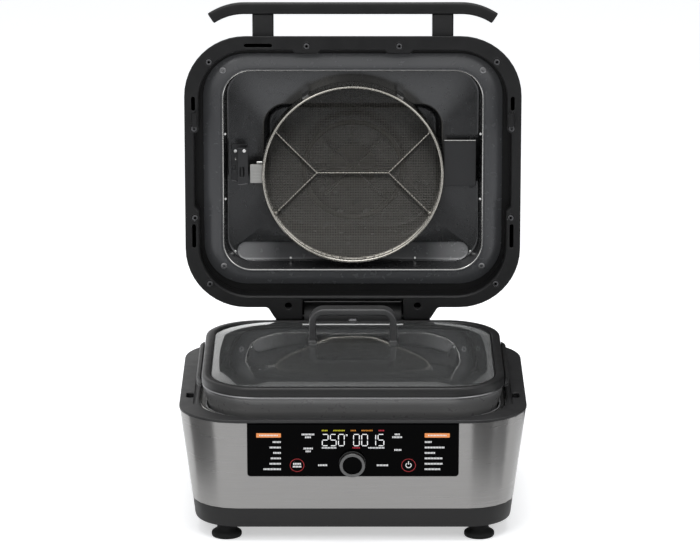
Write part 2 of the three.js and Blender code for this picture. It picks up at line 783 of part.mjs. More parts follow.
function knobCap() {
  const radius = KNOB_CAP_RADIUS - CLEARANCE;
  return turned([
    [0, KNOB_SEAT + CLEARANCE],
    [radius, KNOB_SEAT + CLEARANCE],
    [radius, KNOB_FRONT - KNOB_EDGE],
    [radius - KNOB_EDGE, KNOB_FRONT - KNOB_EDGE / 2],
    [0, KNOB_FRONT - KNOB_EDGE],
  ]);
}

function baseLiner() {
  const top = LEDGE_TOP + SHEET;
  const flange = slab(openingOutline, LINER_GAP, LEDGE_TOP, top);
  const shape = { rimInset: LINER_WALL_INSET, footInset: LINER_FOOT_INSET, rim: top, round: LINER_ROUND };
  const outside = dish(openingOutline, { ...shape, foot: LINER_FLOOR - SHEET });
  const inside = dish(openingOutline, {
    ...shape,
    rimInset: LINER_WALL_INSET + SHEET,
    footInset: LINER_FOOT_INSET + SHEET,
    foot: LINER_FLOOR,
    beyond: OVERRUN,
  });
  const hole = post(SENSOR_HOLE, LINER_FLOOR - OVERRUN, LINER_FLOOR + OVERRUN, 0, POT_CENTRE_Y);
  return cut(join(flange, outside), inside, hole);
}

function lowerHeater() {
  const shape = { halfX: HEATER_HALF_X, halfY: HEATER_HALF_Y, radius: HEATER_CORNER, centreY: POT_CENTRE_Y };
  const plateBottom = LINER_FLOOR + CLEARANCE + HEATER_RIM;
  const plate = stack([
    inset(shape, HEATER_RIM / 2, plateBottom),
    inset(shape, 0, plateBottom + HEATER_RIM / 2),
    inset(shape, 0, HEATER_TOP - HEATER_RIM / 2),
    inset(shape, HEATER_RIM / 2, HEATER_TOP),
  ]);
  const element = slab(shape, 2 * HEATER_STEP, LINER_FLOOR + CLEARANCE, plateBottom + HEATER_RIM);
  const gap = slab(shape, 5 * HEATER_STEP, LINER_FLOOR - OVERRUN, plateBottom);
  const hole = post(SENSOR_HOLE, LINER_FLOOR, HEATER_TOP + OVERRUN, 0, POT_CENTRE_Y);
  return cut(join(plate, element), gap, hole);
}

const CUP_TOP = LINER_FLOOR - SHEET - CLEARANCE;
const CUP_FLOOR = CUP_TOP - SENSOR_CUP_DEPTH;
const CAP_UNDERSIDE = HEATER_TOP - SENSOR_CAP_HEIGHT;

function sensorCup() {
  const wall = SENSOR_HOLE + SHEET;
  const guide = SENSOR_STEM_RADIUS + CLEARANCE;
  return turned([
    [guide, CUP_FLOOR - SHEET],
    [wall, CUP_FLOOR - SHEET],
    [wall, CUP_TOP - SHEET],
    [SENSOR_CUP_RADIUS, CUP_TOP - SHEET],
    [SENSOR_CUP_RADIUS, CUP_TOP],
    [SENSOR_HOLE, CUP_TOP],
    [SENSOR_HOLE, CUP_FLOOR],
    [guide, CUP_FLOOR],
    [guide, CUP_FLOOR - SHEET],
  ]);
}

function sensorCap() {
  return turned([
    [0, CAP_UNDERSIDE - SENSOR_STEM_DEPTH],
    [SENSOR_STEM_RADIUS, CAP_UNDERSIDE - SENSOR_STEM_DEPTH],
    [SENSOR_STEM_RADIUS, CAP_UNDERSIDE],
    [SENSOR_CAP_RADIUS, CAP_UNDERSIDE],
    [SENSOR_CAP_RADIUS, HEATER_TOP - SHEET],
    [SENSOR_CAP_RADIUS - SHEET, HEATER_TOP],
    [0, HEATER_TOP],
  ]);
}

// The helix of the sensor's spring, with its end turns clear of the cup and the cap
class SpringCurve extends THREE.Curve {
  getPoint(share) {
    const angle = share * SPRING_TURNS * 2 * Math.PI;
    const bottom = CUP_FLOOR + CLEARANCE + SPRING_WIRE;
    const top = CAP_UNDERSIDE - CLEARANCE - SPRING_WIRE;
    const z = bottom + share * (top - bottom);
    return new THREE.Vector3(SPRING_RADIUS * Math.cos(angle), SPRING_RADIUS * Math.sin(angle), z);
  }
}

function sensorSpring() {
  return wireAlong(new SpringCurve(), SPRING_WIRE, SPRING_TURNS * SPRING_STEPS, WIRE_SIDES);
}

const HOUSING_TOP = BASE_HEIGHT - HOUSING_TOP_DROP;
const HOUSING_BACK = HINGE_Y + TOWER_RADIUS;

// The power inlet's seat on the back of the housing: z outwards
function inletMatrix() {
  const matrix = new THREE.Matrix4().makeTranslation(INLET_X, HOUSING_BACK, INLET_Z);
  matrix.multiply(new THREE.Matrix4().makeRotationZ(Math.PI));
  return matrix.multiply(new THREE.Matrix4().makeRotationX(Math.PI / 2));
}

function rearHingeHousing() {
  const back = HOUSING_BACK;
  const front = HALF_DEPTH - wrapInset(HOUSING_BOTTOM) - HOUSING_LAP;
  const body = {
    halfX: HOUSING_HALF_WIDTH,
    halfY: (back - front) / 2,
    radius: HOUSING_CORNER,
    centreY: (back + front) / 2,
  };
  const shell = stack([
    inset(body, HOUSING_EDGE, HOUSING_BOTTOM),
    inset(body, 0, HOUSING_BOTTOM + HOUSING_EDGE),
    inset(body, 0, HOUSING_TOP - HOUSING_EDGE),
    inset(body, HOUSING_EDGE, HOUSING_TOP),
  ]);
  const barrel = axle(TOWER_RADIUS, -TOWER_HALF_WIDTH, TOWER_HALF_WIDTH, HINGE_Y, HINGE_Z);
  const stemHeight = HINGE_Z - HOUSING_TOP + HOUSING_EDGE;
  const stemZ = HINGE_Z - stemHeight / 2;
  const stem = block(2 * TOWER_HALF_WIDTH, 2 * TOWER_RADIUS, stemHeight, 0, HINGE_Y, stemZ);
  const finHalf = NOTCH_HALF_WIDTH + FIN_LAP;
  const finTop = HINGE_Z + HINGE_BACK - CLEARANCE;
  const fin = between(-finHalf, finHalf, back - FIN_THICKNESS, back, HOUSING_TOP - HOUSING_EDGE, finTop);
  return cut(
    join(shell, barrel, stem, fin),
    wrapSlab(-CLEARANCE, WRAP_BOTTOM, WRAP_TOP),
    slab(deckOutline, -CLEARANCE, DECK_UNDERSIDE - OVERRUN / 2, BASE_HEIGHT + OVERRUN),
    axle(PIN_RADIUS + CLEARANCE, -HALF_WIDTH, HALF_WIDTH, HINGE_Y, HINGE_Z),
    slab(inletOutline, -CLEARANCE, -INLET_DEPTH - CLEARANCE, OVERRUN).applyMatrix4(inletMatrix()),
  );
}

function cordInlet() {
  const body = slab(inletOutline, 0, CLEARANCE - INLET_DEPTH, CLEARANCE + WALL);
  const flange = slab(inletOutline, -INLET_FLANGE, CLEARANCE, CLEARANCE + WALL);
  const socket = slab(inletOutline, WALL, -INLET_RECESS, OVERRUN);
  return cut(join(body, flange), socket);
}

function lidSwitch() {
  const top = DECK_UNDERSIDE - PEG_SOCKET_DEPTH - CLEARANCE;
  return block(SWITCH_WIDTH, SWITCH_LENGTH, SWITCH_HEIGHT, 0, PEG_HOLE_Y, top - SWITCH_HEIGHT / 2);
}

function buildBase() {
  place(machine, "deck_frame", deckFrame(), blackPlastic);
  place(machine, "steel_wrap", steelWrap(), brushedSteel);
  place(machine, "base_tray", baseTray(), blackPlastic);
  place(machine, "power_board", powerBoard(), circuitBoard);
  place(machine, "base_liner", baseLiner(), greyCoating);
  place(machine, "lower_heater", lowerHeater(), aluminium);
  place(machine, "rear_hinge_housing", rearHingeHousing(), blackPlastic);
  const pin = axle(PIN_RADIUS, -PIN_HALF_LENGTH, PIN_HALF_LENGTH, HINGE_Y, HINGE_Z);
  place(machine, "hinge_pin", pin, polished);
  for (const [end, sideY] of [["front", -1], ["rear", 1]]) {
    for (const [side, sideX] of [["left", -1], ["right", 1]]) {
      const mesh = place(machine, `foot_${end}_${side}`, foot(), rubber);
      mesh.position.set(sideX * (HALF_WIDTH - FOOT_SIDE_INSET), sideY * (HALF_DEPTH - FOOT_END_INSET), 0);
    }
  }
  for (const [side, sideX] of [["left", -1], ["right", 1]]) {
    place(machine, `lid_switch_${side}`, lidSwitch(), blackPlastic).position.x = sideX * PEG_X;
  }

  const sensor = new THREE.Group();
  sensor.position.y = POT_CENTRE_Y;
  machine.add(sensor);
  place(sensor, "sensor_cup", sensorCup(), brushedSteel);
  place(sensor, "sensor_cap", sensorCap(), aluminium);
  place(sensor, "sensor_spring", sensorSpring(), brushedSteel);

  const front = new THREE.Group();
  front.applyMatrix4(faceMatrix());
  machine.add(front);
  place(front, "control_panel", controlPanel(), glossBlack);
  place(front, "control_board", controlBoard(), circuitBoard);
  place(front, "display_module", displayModule(), glossBlack);
  place(front, "encoder", encoder(), brushedSteel);
  const knob = new THREE.Group();
  knob.position.set(KNOB_X, KNOB_Y, 0);
  front.add(knob);
  place(knob, "knob_shaft", knobShaft(), brass);
  place(knob, "knob_ring", knobRing(), polished);
  place(knob, "knob_cap", knobCap(), glossBlack);

  const rear = new THREE.Group();
  rear.applyMatrix4(inletMatrix());
  machine.add(rear);
  place(rear, "cord_inlet", cordInlet(), blackPlastic);
}

buildBase();

// Pot and glass lid: insets of the pot's rim
const potOutline = {
  halfX: POT_HALF_X,
  halfY: POT_HALF_Y,
  radius: DECK_OPENING_CORNER - POT_CORNER_GAP,
  centreY: POT_CENTRE_Y,
};
const earOutline = {
  halfX: POT_HALF_X + EAR_REACH,
  halfY: EAR_HALF_LENGTH,
  radius: EAR_CORNER,
  centreY: EAR_CENTRE_Y,
};

function pot() {
  const rimBottom = POT_RIM_TOP - POT_RIM_HEIGHT;
  const rim = stack([
    inset(potOutline, POT_RIM_ROUND / 2, rimBottom),
    inset(potOutline, 0, rimBottom + POT_RIM_ROUND / 2),
    inset(potOutline, 0, POT_RIM_TOP - POT_RIM_ROUND),
    inset(potOutline, POT_RIM_ROUND / 3, POT_RIM_TOP - POT_RIM_ROUND / 3),
    inset(potOutline, POT_RIM_ROUND, POT_RIM_TOP),
  ]);
  const underRimTop = POT_RIM_TOP - POT_RIM_ROUND - POT_SHEET;
  const underRim = slab(potOutline, POT_RIM_LIP, rimBottom - OVERRUN, underRimTop);
  const shape = { rim: POT_RIM_TOP - POT_RIM_ROUND, round: POT_ROUND };
  const outside = dish(potOutline, {
    ...shape,
    rimInset: POT_WALL_INSET,
    footInset: POT_FOOT_INSET,
    foot: POT_FLOOR,
  });
  const inside = dish(potOutline, {
    ...shape,
    rimInset: POT_WALL_INSET + POT_SHEET,
    footInset: POT_FOOT_INSET + POT_SHEET,
    foot: POT_FLOOR + POT_SHEET,
    beyond: OVERRUN,
  });
  const ears = cut(
    slab(earOutline, 0, EAR_BOTTOM, EAR_TOP),
    slab(earOutline, EAR_RIM, EAR_BOTTOM + EAR_FLOOR, EAR_TOP + OVERRUN),
    slab(potOutline, -RING_OVERHANG - CLEARANCE, POT_RIM_TOP, EAR_TOP + OVERRUN),
    slab(potOutline, POT_RIM_LIP / 2, EAR_BOTTOM - OVERRUN, POT_RIM_TOP + OVERRUN),
  );
  return cut(join(cut(rim, underRim), outside, ears), inside);
}

const ringOutline = inset(potOutline, -RING_OVERHANG, 0);
const GLASS_EDGE_TOP = RING_TOP - RING_LIP - RING_GROOVE_HEIGHT + GLASS_THICKNESS + CLEARANCE;

// A dome over the ring, with its edge at one height
function dome(amount, edge, below) {
  const edgeShape = inset(ringOutline, RING_GROOVE_INSET + CLEARANCE + amount, edge);
  const levels = [{ ...edgeShape, z: edge - below }];
  for (const share of DOME_SHARES) {
    levels.push({
      ...edgeShape,
      halfX: edgeShape.halfX * share,
      halfY: edgeShape.halfY * share,
      radius: edgeShape.radius * share,
      z: edge + DOME_RISE * (1 - share * share),
    });
  }
  return stack(levels);
}

// The dome's height above a place
function domeTop(x, y) {
  const edge = inset(ringOutline, RING_GROOVE_INSET + CLEARANCE, 0);
  const share = Math.max(Math.abs(x) / edge.halfX, Math.abs(y - POT_CENTRE_Y) / edge.halfY);
  return GLASS_EDGE_TOP + DOME_RISE * (1 - share * share);
}

const GRIP_FOOT_X = GRIP_HALF_SPAN - GRIP_THICKNESS / 2;
const GRIP_FOOT_Z = domeTop(GRIP_FOOT_X, GRIP_CENTRE_Y);

function lidRimRing() {
  const ring = stack([
    inset(ringOutline, RING_EDGE / 2, RING_BOTTOM),
    inset(ringOutline, 0, RING_BOTTOM + RING_EDGE / 2),
    inset(ringOutline, 0, RING_TOP - RING_EDGE),
    inset(ringOutline, RING_EDGE, RING_TOP),
  ]);
  return cut(
    ring,
    slab(ringOutline, RING_LEDGE, RING_BOTTOM - OVERRUN, RING_TOP - RING_LIP),
    slab(ringOutline, RING_WIDTH, RING_BOTTOM, RING_TOP + OVERRUN),
    slab(ringOutline, RING_GROOVE_INSET, RING_TOP - RING_LIP - RING_GROOVE_HEIGHT, RING_TOP - RING_LIP),
  );
}

function lidGlass() {
  const holes = [-1, 1].map((side) =>
    post(GRIP_SCREW_RADIUS + CLEARANCE, RING_BOTTOM, RING_TOP + OVERRUN, side * GRIP_FOOT_X, GRIP_CENTRE_Y),
  );
  const edge = GLASS_EDGE_TOP;
  const hollow = dome(GLASS_THICKNESS, edge - GLASS_THICKNESS, OVERRUN);
  return cut(dome(0, edge, GLASS_THICKNESS), hollow, ...holes);
}

// The grip's strap from the side: an arch with its legs bent in to their feet
function lidGrip() {
  const bottom = GRIP_FOOT_Z + CLEARANCE;
  const top = bottom + GRIP_HEIGHT;
  const arch = (amount) => {
    const half = GRIP_HALF_SPAN - amount;
    const bend = GRIP_BEND - amount;
    const shape = new THREE.Shape();
    shape.moveTo(-half, bottom - 2 * amount);
    shape.lineTo(half, bottom - 2 * amount);
    shape.lineTo(half, top - amount - bend);
    shape.absarc(half - bend, top - amount - bend, bend, 0, Math.PI / 2, false);
    shape.lineTo(bend - half, top - amount);
    shape.absarc(bend - half, top - amount - bend, bend, Math.PI / 2, Math.PI, false);
    return shape;
  };
  const slice = (shape, width, edge) => {
    const options = {
      depth: width - 2 * edge,
      curveSegments: CORNER_STEPS,
      bevelEnabled: edge > 0,
      bevelThickness: edge,
      bevelSize: edge,
      bevelOffset: -edge,
      bevelSegments: 2,
    };
    const geometry = new THREE.ExtrudeGeometry(shape, options);
    return geometry.translate(0, 0, edge - width / 2).rotateX(Math.PI / 2).translate(0, GRIP_CENTRE_Y, 0);
  };
  const feet = [-1, 1].map((side) => {
    const width = GRIP_THICKNESS + 2 * GRIP_FOOT_REACH;
    return block(width, GRIP_WIDTH, 2 * GRIP_FOOT_HEIGHT, side * GRIP_FOOT_X, GRIP_CENTRE_Y, bottom);
  });
  const screwHoles = [-1, 1].map((side) => {
    const holeTop = bottom + GRIP_SCREW_DEPTH + CLEARANCE;
    const radius = GRIP_SCREW_RADIUS + CLEARANCE;
    return post(radius, bottom - OVERRUN, holeTop, side * GRIP_FOOT_X, GRIP_CENTRE_Y, WIRE_SIDES);
  });
  const strap = cut(slice(arch(0), GRIP_WIDTH, GRIP_EDGE), slice(arch(GRIP_THICKNESS), 2 * GRIP_WIDTH, 0));
  const cutter = dome(-CLEARANCE, GLASS_EDGE_TOP + CLEARANCE, OVERRUN);
  return cut(join(strap, ...feet), cutter, ...screwHoles);
}

function gripScrew() {
  const under = GRIP_FOOT_Z - GLASS_THICKNESS - 2 * CLEARANCE;
  const head = post(GRIP_SCREW_HEAD, under - SHEET - WALL, under - SHEET, 0, 0, ROUND_SIDES / 2);
  const shank = post(GRIP_SCREW_RADIUS, under - WALL, GRIP_FOOT_Z + GRIP_SCREW_DEPTH, 0, 0, WIRE_SIDES);
  return join(head, shank);
}

function steamVent() {
  const y = POT_CENTRE_Y + ringOutline.halfY - RING_WIDTH / 2;
  return post(VENT_RADIUS, RING_TOP + CLEARANCE, RING_TOP + CLEARANCE + VENT_HEIGHT, 0, y, ROUND_SIDES / 2);
}

function buildPot() {
  place(machine, "pot", pot(), darkCoating);
  place(machine, "lid_rim_ring", lidRimRing(), blackPlastic);
  place(machine, "lid_glass", lidGlass(), clearGlass);
  place(machine, "lid_grip", lidGrip(), blackPlastic);
  place(machine, "steam_vent", steamVent(), blackPlastic);
  for (const [side, sideX] of [["left", -1], ["right", 1]]) {
    const mesh = place(machine, `grip_screw_${side}`, gripScrew(), polished);
    mesh.position.set(sideX * GRIP_FOOT_X, GRIP_CENTRE_Y, 0);
  }
}

buildPot();

// Lid, in its own frame
const LID_HALF_X = HALF_WIDTH + LID_SIDE_OVERHANG;
const lidOutline = { halfX: LID_HALF_X, halfY: LID_LENGTH / 2, radius: LID_CORNER, centreY: LID_LENGTH / 2 };

// A rounded rectangle inside another, by its border at the sides, the rear and the front
function within(shape, side, rear, front, radius) {
  return {
    halfX: shape.halfX - side,
    halfY: shape.halfY - (rear + front) / 2,
    radius,
    centreY: shape.centreY + (rear - front) / 2,
  };
}

const frameOpening = within(
  lidOutline,
  FRAME_SIDE_BORDER,
  FRAME_REAR_BORDER,
  FRAME_FRONT_BORDER,
  FRAME_OPENING_CORNER,
);
const flangeOutline = within(frameOpening, FLANGE_SIDE_GAP, FLANGE_REAR_GAP, FLANGE_FRONT_GAP, FLANGE_CORNER);
const cavityOutline = within(flangeOutline, CAVITY_SIDE, CAVITY_REAR, CAVITY_FRONT, CAVITY_CORNER);
const GUARD_Y = cavityOutline.centreY - GUARD_BELOW_CENTRE;
// The hoop is the largest circle that leaves its room at the cavity's sides and at its ends
const GUARD_RADIUS = Math.min(
  cavityOutline.halfX - GUARD_SIDE_ROOM,
  cavityOutline.halfY - GUARD_END_ROOM,
);
const GUARD_INSIDE = GUARD_RADIUS - GUARD_SHEET;
const HEATER_RING_RADIUS = HEATER_RING_SHARE * GUARD_RADIUS;
const FAN_RADIUS = FAN_SHARE * GUARD_RADIUS;
const PEG_LID_Y = HINGE_Y - HINGE_BACK - PEG_HOLE_Y;
const FLANGE_BACK = -FLANGE_DEPTH - SHEET;
const LID_LEDGE_TOP = FLANGE_BACK - CLEARANCE;
const LID_LEDGE_BOTTOM = LID_LEDGE_TOP - WALL;
const CAVITY_FLOOR = -CAVITY_DEPTH;
const WELL_FLOOR = -WELL_DEPTH;

// How far from the guard's axis a share of the room beside the guard reaches
function besideGuard(share) {
  return GUARD_RADIUS + share * (cavityOutline.halfX - GUARD_RADIUS);
}

// The bays at the sides of the opening, where the pot's ears stand when the lid is closed
function bays(wall, back, front) {
  const reach = frameOpening.halfX + BAY_REACH + wall;
  const low = frameOpening.centreY + BAY_OFFSET - BAY_LENGTH / 2 - wall;
  return between(-reach, reach, low, low + BAY_LENGTH + 2 * wall, back, front);
}

function bulges(wall, back, front) {
  const edge = frameOpening.centreY + frameOpening.halfY;
  return [-1, 1].map((side) => {
    const centre = side * BULGE_X;
    const half = BULGE_WIDTH / 2 - wall;
    return between(centre - half, centre + half, edge - BULGE_REACH + wall, edge + OVERRUN, back, front);
  });
}

function hingeArm(side) {
  const inner = side * NOTCH_HALF_WIDTH;
  const outer = side * (NOTCH_HALF_WIDTH + ARM_WIDTH);
  const [left, right] = inner < outer ? [inner, outer] : [outer, inner];
  const tongue = new THREE.Shape();
  tongue.moveTo(inner, -TONGUE_LENGTH);
  tongue.lineTo(outer, -TONGUE_LENGTH);
  tongue.lineTo(outer + side * TONGUE_FLARE, 0);
  tongue.lineTo(outer + side * TONGUE_FLARE, WALL);
  tongue.lineTo(inner, WALL);
  const plate = new THREE.ExtrudeGeometry(tongue, { depth: FRAME_THICKNESS, bevelEnabled: false });
  plate.translate(0, 0, -FRAME_THICKNESS);
  const barrel = axle(ARM_BARREL_RADIUS, left, right, -HINGE_BACK, -HINGE_RISE);
  const webBack = -HINGE_RISE - ARM_BARREL_RADIUS / 2;
  const web = between(left, right, -TONGUE_LENGTH, -CLEARANCE, webBack, -FRAME_THICKNESS / 2);
  return join(plate, barrel, web);
}

function lidFrame() {
  const plate = stack([
    inset(lidOutline, 0, -FRAME_THICKNESS),
    inset(lidOutline, 0, -LID_EDGE),
    inset(lidOutline, LID_EDGE * (1 - Math.SQRT1_2), -LID_EDGE * (1 - Math.SQRT1_2)),
    inset(lidOutline, LID_EDGE, 0),
  ]);
  const tube = slab(frameOpening, -WALL, LID_LEDGE_BOTTOM, -FRAME_THICKNESS / 2);
  const bayTube = bays(WALL, LID_LEDGE_BOTTOM, -FRAME_THICKNESS / 2);
  const opening = cut(
    slab(frameOpening, 0, LID_LEDGE_TOP, OVERRUN),
    ...bulges(0, LID_LEDGE_BOTTOM, 2 * OVERRUN),
  );
  const bevel = stack([
    inset(frameOpening, 0, -FRAME_CHAMFER),
    inset(frameOpening, -FRAME_CHAMFER, 0),
    inset(frameOpening, -FRAME_CHAMFER, OVERRUN),
  ]);
  const chamfer = cut(bevel, ...bulges(FRAME_CHAMFER, -OVERRUN, 2 * OVERRUN));
  const throat = slab(flangeOutline, FLANGE_SEAT, LID_LEDGE_BOTTOM - OVERRUN, OVERRUN);
  const notch = between(
    -NOTCH_HALF_WIDTH,
    NOTCH_HALF_WIDTH,
    -OVERRUN,
    NOTCH_HEIGHT,
    LID_LEDGE_BOTTOM - OVERRUN,
    OVERRUN,
  );
  const slotX = LID_HALF_X - SIDE_SLOT_INSET;
  const slots = [
    block(TOP_SLOT_WIDTH, TOP_SLOT_HEIGHT, 2 * SLOT_DEPTH, TOP_SLOT_X, LID_LENGTH - TOP_SLOT_DROP, 0),
  ];
  const armHoles = [];
  for (const side of [-1, 1]) {
    slots.push(
      block(SIDE_SLOT_WIDTH, UPPER_SLOT_LENGTH, 2 * SLOT_DEPTH, side * slotX, UPPER_SLOT_Y, 0),
      block(SIDE_SLOT_WIDTH, LOWER_SLOT_LENGTH, 2 * SLOT_DEPTH, side * slotX, LOWER_SLOT_Y, 0),
    );
    armHoles.push(post(ARM_HOLE_RADIUS, -FRAME_THICKNESS, OVERRUN, side * ARM_HOLE_X, ARM_HOLE_Y));
  }
  const bore = axle(PIN_RADIUS + PIN_CLEARANCE, -LID_HALF_X, LID_HALF_X, -HINGE_BACK, -HINGE_RISE);
  return cut(
    join(plate, tube, bayTube, hingeArm(-1), hingeArm(1)),
    opening,
    bays(0, LID_LEDGE_TOP, OVERRUN),
    chamfer,
    throat,
    notch,
    bore,
    ...slots,
    ...armHoles,
  );
}

const wellOutline = {
  halfX: GUARD_RADIUS - WELL_SIDE_LESS,
  halfY: GUARD_RADIUS - WELL_END_LESS,
  radius: WELL_CORNER,
  centreY: GUARD_Y,
};
const recessOutline = {
  halfX: cavityOutline.halfX - RECESS_SIDE_GAP,
  halfY: RECESS_HALF_Y,
  radius: RECESS_HALF_Y - DECK_EDGE / 2,
  centreY: cavityOutline.centreY - cavityOutline.halfY + RECESS_UP,
};

// The outside and the inside of one pressed pan of the sheet
function pressing(outlineShape, draft, floor, rim, round) {
  return {
    outside: dish(outlineShape, {
      rimInset: -SHEET,
      footInset: draft - SHEET,
      foot: floor - SHEET,
      rim: rim - SHEET / 2,
      round,
    }),
    inside: dish(outlineShape, {
      rimInset: 0,
      footInset: draft,
      foot: floor,
      rim,
      round,
      beyond: CAVITY_DEPTH / 2,
    }),
  };
}

function lidLiner() {
  const flange = slab(flangeOutline, 0, FLANGE_BACK, -FLANGE_DEPTH);
  const bead = stack([
    inset(cavityOutline, -BEAD_WIDTH, -FLANGE_DEPTH - SHEET / 2),
    inset(cavityOutline, -BEAD_WIDTH, -FLANGE_DEPTH + BEAD_HEIGHT / 2),
    inset(cavityOutline, -BEAD_WIDTH / 2, -FLANGE_DEPTH + BEAD_HEIGHT),
  ]);
  const cavity = pressing(cavityOutline, CAVITY_DRAFT, CAVITY_FLOOR, -FLANGE_DEPTH, CAVITY_ROUND);
  const well = pressing(wellOutline, WELL_DRAFT, WELL_FLOOR, CAVITY_FLOOR, WELL_ROUND);
  const recess = pressing(recessOutline, 0, CAVITY_FLOOR - RECESS_DEPTH, CAVITY_FLOOR, RECESS_ROUND);
  const shaftHole = post(MOTOR_SHAFT_RADIUS + GUARD_SHEET, WELL_FLOOR - OVERRUN, CAVITY_FLOOR, 0, GUARD_Y);
  const legHoles = heaterLegs(HEATER_TUBE + CLEARANCE, WELL_FLOOR - OVERRUN / 2);
  return cut(
    join(flange, bead, cavity.outside, well.outside, recess.outside),
    cavity.inside,
    well.inside,
    recess.inside,
    shaftHole,
    ...legHoles,
  );
}

function heaterLegs(radius, end) {
  const y = GUARD_Y - Math.sqrt(HEATER_RING_RADIUS ** 2 - HEATER_LEG_X ** 2);
  const leg = (side) => post(radius, end, -HEATER_RING_DEPTH, side * HEATER_LEG_X, y, ROUND_SIDES / 2);
  return [leg(-1), leg(1)];
}

function upperHeater() {
  const ring = new THREE.TorusGeometry(HEATER_RING_RADIUS, HEATER_TUBE, WIRE_SIDES, GUARD_SIDES);
  return join(ring.translate(0, GUARD_Y, -HEATER_RING_DEPTH), ...heaterLegs(HEATER_TUBE, -HEATER_LEG_END));
}

// The cover's skin: a drafted wall, a shoulder and a plateau, drawn in by a wall thickness
function coverSkin(wall, rimDepth) {
  const levels = [inset(lidOutline, COVER_INSET + wall, -rimDepth)];
  const arc = (startInset, depth, round) => {
    for (let step = 0; step <= ROUND_STEPS; step++) {
      const angle = ((step / ROUND_STEPS) * Math.PI) / 2;
      const amount = startInset + wall + round * (1 - Math.cos(angle));
      levels.push(inset(lidOutline, amount, wall - depth + round * (1 - Math.sin(angle))));
    }
  };
  arc(COVER_INSET + COVER_DRAFT, SHOULDER_DEPTH, SHOULDER_ROUND);
  levels.push(inset(lidOutline, PLATEAU_INSET + wall, wall - SHOULDER_DEPTH - SHOULDER_RISE));
  arc(PLATEAU_INSET + PLATEAU_DRAFT, LID_HEIGHT, PLATEAU_ROUND);
  return stack(levels);
}

function lidCover() {
  const rim = FRAME_THICKNESS + CLEARANCE;
  const shell = cut(coverSkin(0, rim), coverSkin(WALL, -OVERRUN));
  const pocketHalf = NOTCH_HALF_WIDTH + NOTCH_WALL;
  const pocketTop = NOTCH_HEIGHT + NOTCH_WALL;
  const pocket = overlap(
    between(-pocketHalf, pocketHalf, 0, pocketTop, -NOTCH_DEPTH - NOTCH_WALL, -rim),
    coverSkin(WALL / 2, rim),
  );
  const notch = between(-NOTCH_HALF_WIDTH, NOTCH_HALF_WIDTH, -OVERRUN, NOTCH_HEIGHT, -NOTCH_DEPTH, OVERRUN);
  const bosses = [];
  const bossX = flangeOutline.halfX - BOSS_SIDE_INSET;
  const rearBoss = flangeOutline.centreY - flangeOutline.halfY + BOSS_REAR_INSET;
  const frontBoss = flangeOutline.centreY + flangeOutline.halfY - BOSS_FRONT_INSET;
  for (const side of [-1, 1]) {
    for (const y of [rearBoss, frontBoss]) {
      const long = post(BOSS_RADIUS, -LID_HEIGHT, FLANGE_BACK - CLEARANCE, side * bossX, y, WIRE_SIDES);
      bosses.push(overlap(long, coverSkin(WALL / 2, rim)));
    }
  }
  const vents = [];
  for (let slot = 0; slot < VENT_SLOTS; slot++) {
    const x = (slot - (VENT_SLOTS - 1) / 2) * VENT_PITCH;
    vents.push(block(VENT_WIDTH, PLATEAU_INSET, VENT_LENGTH, x, PLATEAU_INSET, -VENT_DEPTH));
  }
  return cut(join(shell, pocket, ...bosses), notch, ...vents);
}

function aboutGuard(geometry) {
  return geometry.translate(0, GUARD_Y, 0);
}

function guardRing() {
  const rollInside = GUARD_RADIUS - GUARD_ROLL;
  const lipTop = -MESH_DEPTH - MESH_THICKNESS - CLEARANCE;
  const back = CAVITY_FLOOR + CLEARANCE;
  const half = GUARD_ROLL_DEPTH / 2;
  return aboutGuard(
    turned(
      [
        [GUARD_INSIDE, back],
        [GUARD_RADIUS, back],
        [GUARD_RADIUS, -GUARD_FRONT_DEPTH - half],
        [GUARD_RADIUS - half, -GUARD_FRONT_DEPTH],
        [rollInside + half, -GUARD_FRONT_DEPTH],
        [rollInside, -GUARD_FRONT_DEPTH - half],
        [GUARD_INSIDE, -GUARD_FRONT_DEPTH - 2 * half],
        [GUARD_INSIDE, lipTop],
        [GUARD_INSIDE - GUARD_LIP, lipTop],
        [GUARD_INSIDE - GUARD_LIP, lipTop - GUARD_SHEET],
        [GUARD_INSIDE, lipTop - GUARD_SHEET],
        [GUARD_INSIDE, back],
      ],
      GUARD_SIDES,
    ),
  );
}

// The woven mesh with a coarse pitch: square holes inside a plain edge
function guardMesh() {
  const radius = GUARD_INSIDE - CLEARANCE;
  const disc = post(radius, -MESH_DEPTH - MESH_THICKNESS, -MESH_DEPTH, 0, 0, GUARD_SIDES);
  const pitch = MESH_PITCH_SHARE * radius;
  const hole = pitch * (1 - MESH_BAR_SHARE);
  const reach = Math.floor(1 / MESH_PITCH_SHARE);
  const gaps = [];
  for (let row = -reach; row <= reach; row++) {
    for (let column = -reach; column <= reach; column++) {
      const x = column * pitch;
      const y = row * pitch;
      const corner = Math.hypot(Math.abs(x) + hole / 2, Math.abs(y) + hole / 2);
      if (corner < MESH_REACH_SHARE * radius) {
        gaps.push(block(hole, hole, 2 * MESH_DEPTH, x, y, -MESH_DEPTH));
      }
    }
  }
  return aboutGuard(cut(disc, ...gaps));
}

function guardWire() {
  const z = -MESH_DEPTH + CLEARANCE + GUARD_WIRE_RADIUS;
  const halfBar = WIRE_BAR_SHARE * GUARD_RADIUS;
  const [reachX, reachY] = WIRE_REACH_SHARES.map((share) => share * GUARD_RADIUS);
  const wires = [rod3([-halfBar, 0, z], [halfBar, 0, z], GUARD_WIRE_RADIUS)];
  for (const sideX of [-1, 1]) {
    for (const sideY of [-1, 1]) {
      const start = [sideX * (halfBar - GUARD_WIRE_RADIUS), 0, z];
      wires.push(rod3(start, [sideX * reachX, sideY * reachY, z], GUARD_WIRE_RADIUS));
    }
  }
  return aboutGuard(join(...wires));
}

